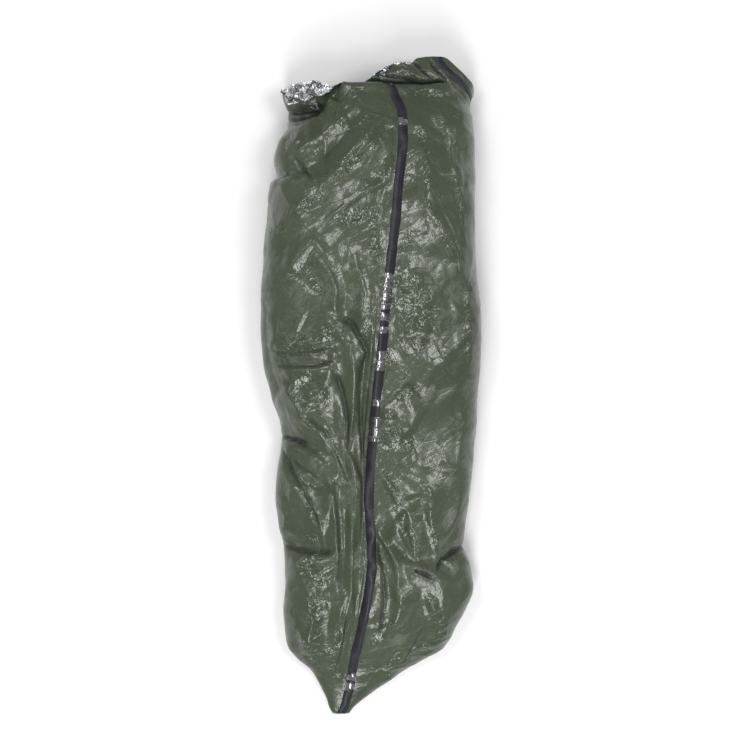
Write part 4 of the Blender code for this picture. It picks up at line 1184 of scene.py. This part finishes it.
def tip_turn():
    across = np.array([1.0, SEAM_GAP / TAPE_HALF, -SEAM_GAP / TAPE_HALF, -1.0]) * TIP_HALF
    middle = grid[0, SECOND : SECOND + 4, 0].mean()
    tip = grid[0, 0, 1]
    slope = (grid[TIP_AIM_ROW, SECOND : SECOND + 4, 0].mean() - middle) / (grid[TIP_AIM_ROW, 0, 1] - tip)
    under = TAPE_THICK + 2 * FIT_GAP
    crown = grid[0, [-2, -1, 0, 1], 2]
    layers = []
    for clear in (FIT_GAP, FIT_GAP + TAPE_THICK):
        corners = (
            (tip + TIP_WRAP, np.full(4, under - clear)),
            (tip - clear, np.full(4, under - clear)),
            (tip - clear, crown * TIP_BEND[0]),
            (tip - clear, crown + clear * TIP_BEND[1]),
        )
        lines = []
        for y, z in corners:
            lines.append(np.stack([middle + (y - tip) * slope + across, np.full(4, y), z], axis=1))
        layers.append(np.array(lines))
    return layers


def near_ripples(x, y):
    """1 in the tape's ripples, 0 away from them."""
    most = np.zeros(x.shape)
    for ripple in RIPPLES:
        gap = route_distance(x, y, ripple.route)[0]
        most = np.maximum(most, smoothstep(RIPPLE_FADE, RIPPLE_FULL, gap))
    return most


def shine(tape, rippled):
    """The rippled stretches of a tape take the second finish."""
    bright = np.tile(rippled.ravel() > 0.5, 2)
    corners = np.empty(len(tape.data.polygons) * 3, np.int32)
    tape.data.polygons.foreach_get("vertices", corners)
    index = bright[corners.reshape(-1, 3)].all(axis=1).astype(np.int32)
    tape.data.polygons.foreach_set("material_index", index)


def make_tapes():
    low = grid + normals * FIT_GAP
    high = grid + normals * (FIT_GAP + TAPE_THICK)
    seam = [-2, -1, 0, 1]
    second = list(range(SECOND, SECOND + 4))
    turn_low, turn_high = tip_turn()
    rippled = near_ripples(grid[:, seam, 0], grid[:, seam, 1])
    top_low, top_high = np.concatenate([turn_low, low[:, seam]]), np.concatenate([turn_high, high[:, seam]])
    rippled = np.concatenate([np.zeros((len(turn_low), 4)), rippled])
    top = closed_sheet("tape_upper_seam", top_high, top_low, {"rippled": rippled}, [black, glossed])
    shine(top, rippled)
    plain = {"rippled": np.zeros((len(grid) - SIDE_FROM, 4))}
    side_high, side_low = high[SIDE_FROM:, second], low[SIDE_FROM:, second]
    side = closed_sheet("tape_second_seam", side_high, side_low, plain, [black])
    return top, side


tape_top, tape_side = make_tapes()

# %% [markdown]
# Each piece stands for its solid, which is hidden, and moves with the bag.

# %% Tie the pieces to the model
for piece, solid, slot in (
    (panel_left, "panel_left", "olive_film"),
    (panel_right, "panel_right", "olive_film"),
    (tape_top, "seam_tape_top", "black_tape"),
    (tape_side, "seam_tape_side", "black_tape"),
):
    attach(piece, "root")
    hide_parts(solid)

# %% [markdown]
# The stage is a plain pale floor in a pale room, six softboxes and a camera straight above. One large
# light would make film this glossy look like plain plastic. So three boxes hang high, at the upper left,
# at the right and toward the foot, and light the crests of the creases. Two lower ones at the sides and
# one beyond the foot pick out the sloping film.

# %% Floor, light and camera
FLOOR_REACH = 6.0
FLOOR_CORNERS = ((-1, -1), (1, -1), (1, 1), (-1, 1))
FLOOR_PAINT = (0.86, 0.86, 0.86, 1.0)
FLOOR_ROUGHNESS = 0.8
ROOM_WHITE = (1.0, 1.0, 1.0, 1.0)
ROOM_LIGHT = 0.40
CAMERA_OVER = (0.011, 0.036)  # the point that the camera stands over
CAMERA_ABOVE = 5.0
MID_HEIGHT = 0.12  # of the film's upper side, where the view's width is measured
VIEW_WIDE = 1.9875
SENSOR_WIDE = 36.0

Softbox = namedtuple("Softbox", "name place aim size power")
SOFTBOXES = (
    Softbox("key", (-2.1, 1.9, 5.3), (0.0, 0.0, 0.1), (1.6, 1.6), 78),
    Softbox("side", (2.5, 0.6, 5.2), (0.0, 0.0, 0.1), (1.5, 1.6), 84),
    Softbox("low", (-0.6, -2.7, 5.2), (0.0, 0.0, 0.1), (1.5, 1.6), 80),
    Softbox("left", (-4.0, 0.4, 3.9), (0.0, 0.0, 0.1), (1.8, 2.6), 22),
    Softbox("right", (4.0, 0.2, 3.9), (0.0, 0.0, 0.1), (1.8, 2.6), 22),
    Softbox("foot", (-0.3, -3.9, 4.1), (0.0, -0.5, 0.1), (2.2, 1.4), 95),
)


def make_floor():
    mesh = bpy.data.meshes.new("floor")
    mesh.from_pydata([(x * FLOOR_REACH, y * FLOOR_REACH, 0) for x, y in FLOOR_CORNERS], [], [(0, 1, 2, 3)])
    material, _, shader = new_finish("floor_paint")
    shader.inputs["Base Color"].default_value = FLOOR_PAINT
    shader.inputs["Roughness"].default_value = FLOOR_ROUGHNESS
    mesh.materials.append(material)
    floor = place_in_scene("floor", mesh)


def hang(box):
    lamp = bpy.data.lights.new(box.name, "AREA")
    lamp.shape = "RECTANGLE"
    lamp.size, lamp.size_y = box.size
    lamp.energy = box.power
    light = place_in_scene(box.name, lamp)
    light.location = box.place
    light.rotation_euler = (Vector(box.aim) - Vector(box.place)).to_track_quat("-Z", "Y").to_euler()


def make_room():
    room = bpy.data.worlds.new("room")
    room.use_nodes = True
    background = room.node_tree.nodes["Background"]
    background.inputs["Color"].default_value = ROOM_WHITE
    background.inputs["Strength"].default_value = ROOM_LIGHT
    bpy.context.scene.world = room
    bpy.context.scene.view_settings.view_transform = "Standard"


def set_camera():
    lens = bpy.data.cameras.new("camera")
    lens.sensor_width = SENSOR_WIDE
    lens.lens = lens.sensor_width * CAMERA_ABOVE / VIEW_WIDE
    camera = place_in_scene("camera", lens)
    camera.location = (*CAMERA_OVER, MID_HEIGHT + CAMERA_ABOVE)
    bpy.context.scene.camera = camera


make_floor()
for box in SOFTBOXES:
    hang(box)
make_room()
set_camera()
print(len(SOFTBOXES), "softboxes, and a camera", CAMERA_ABOVE, "m above the film")
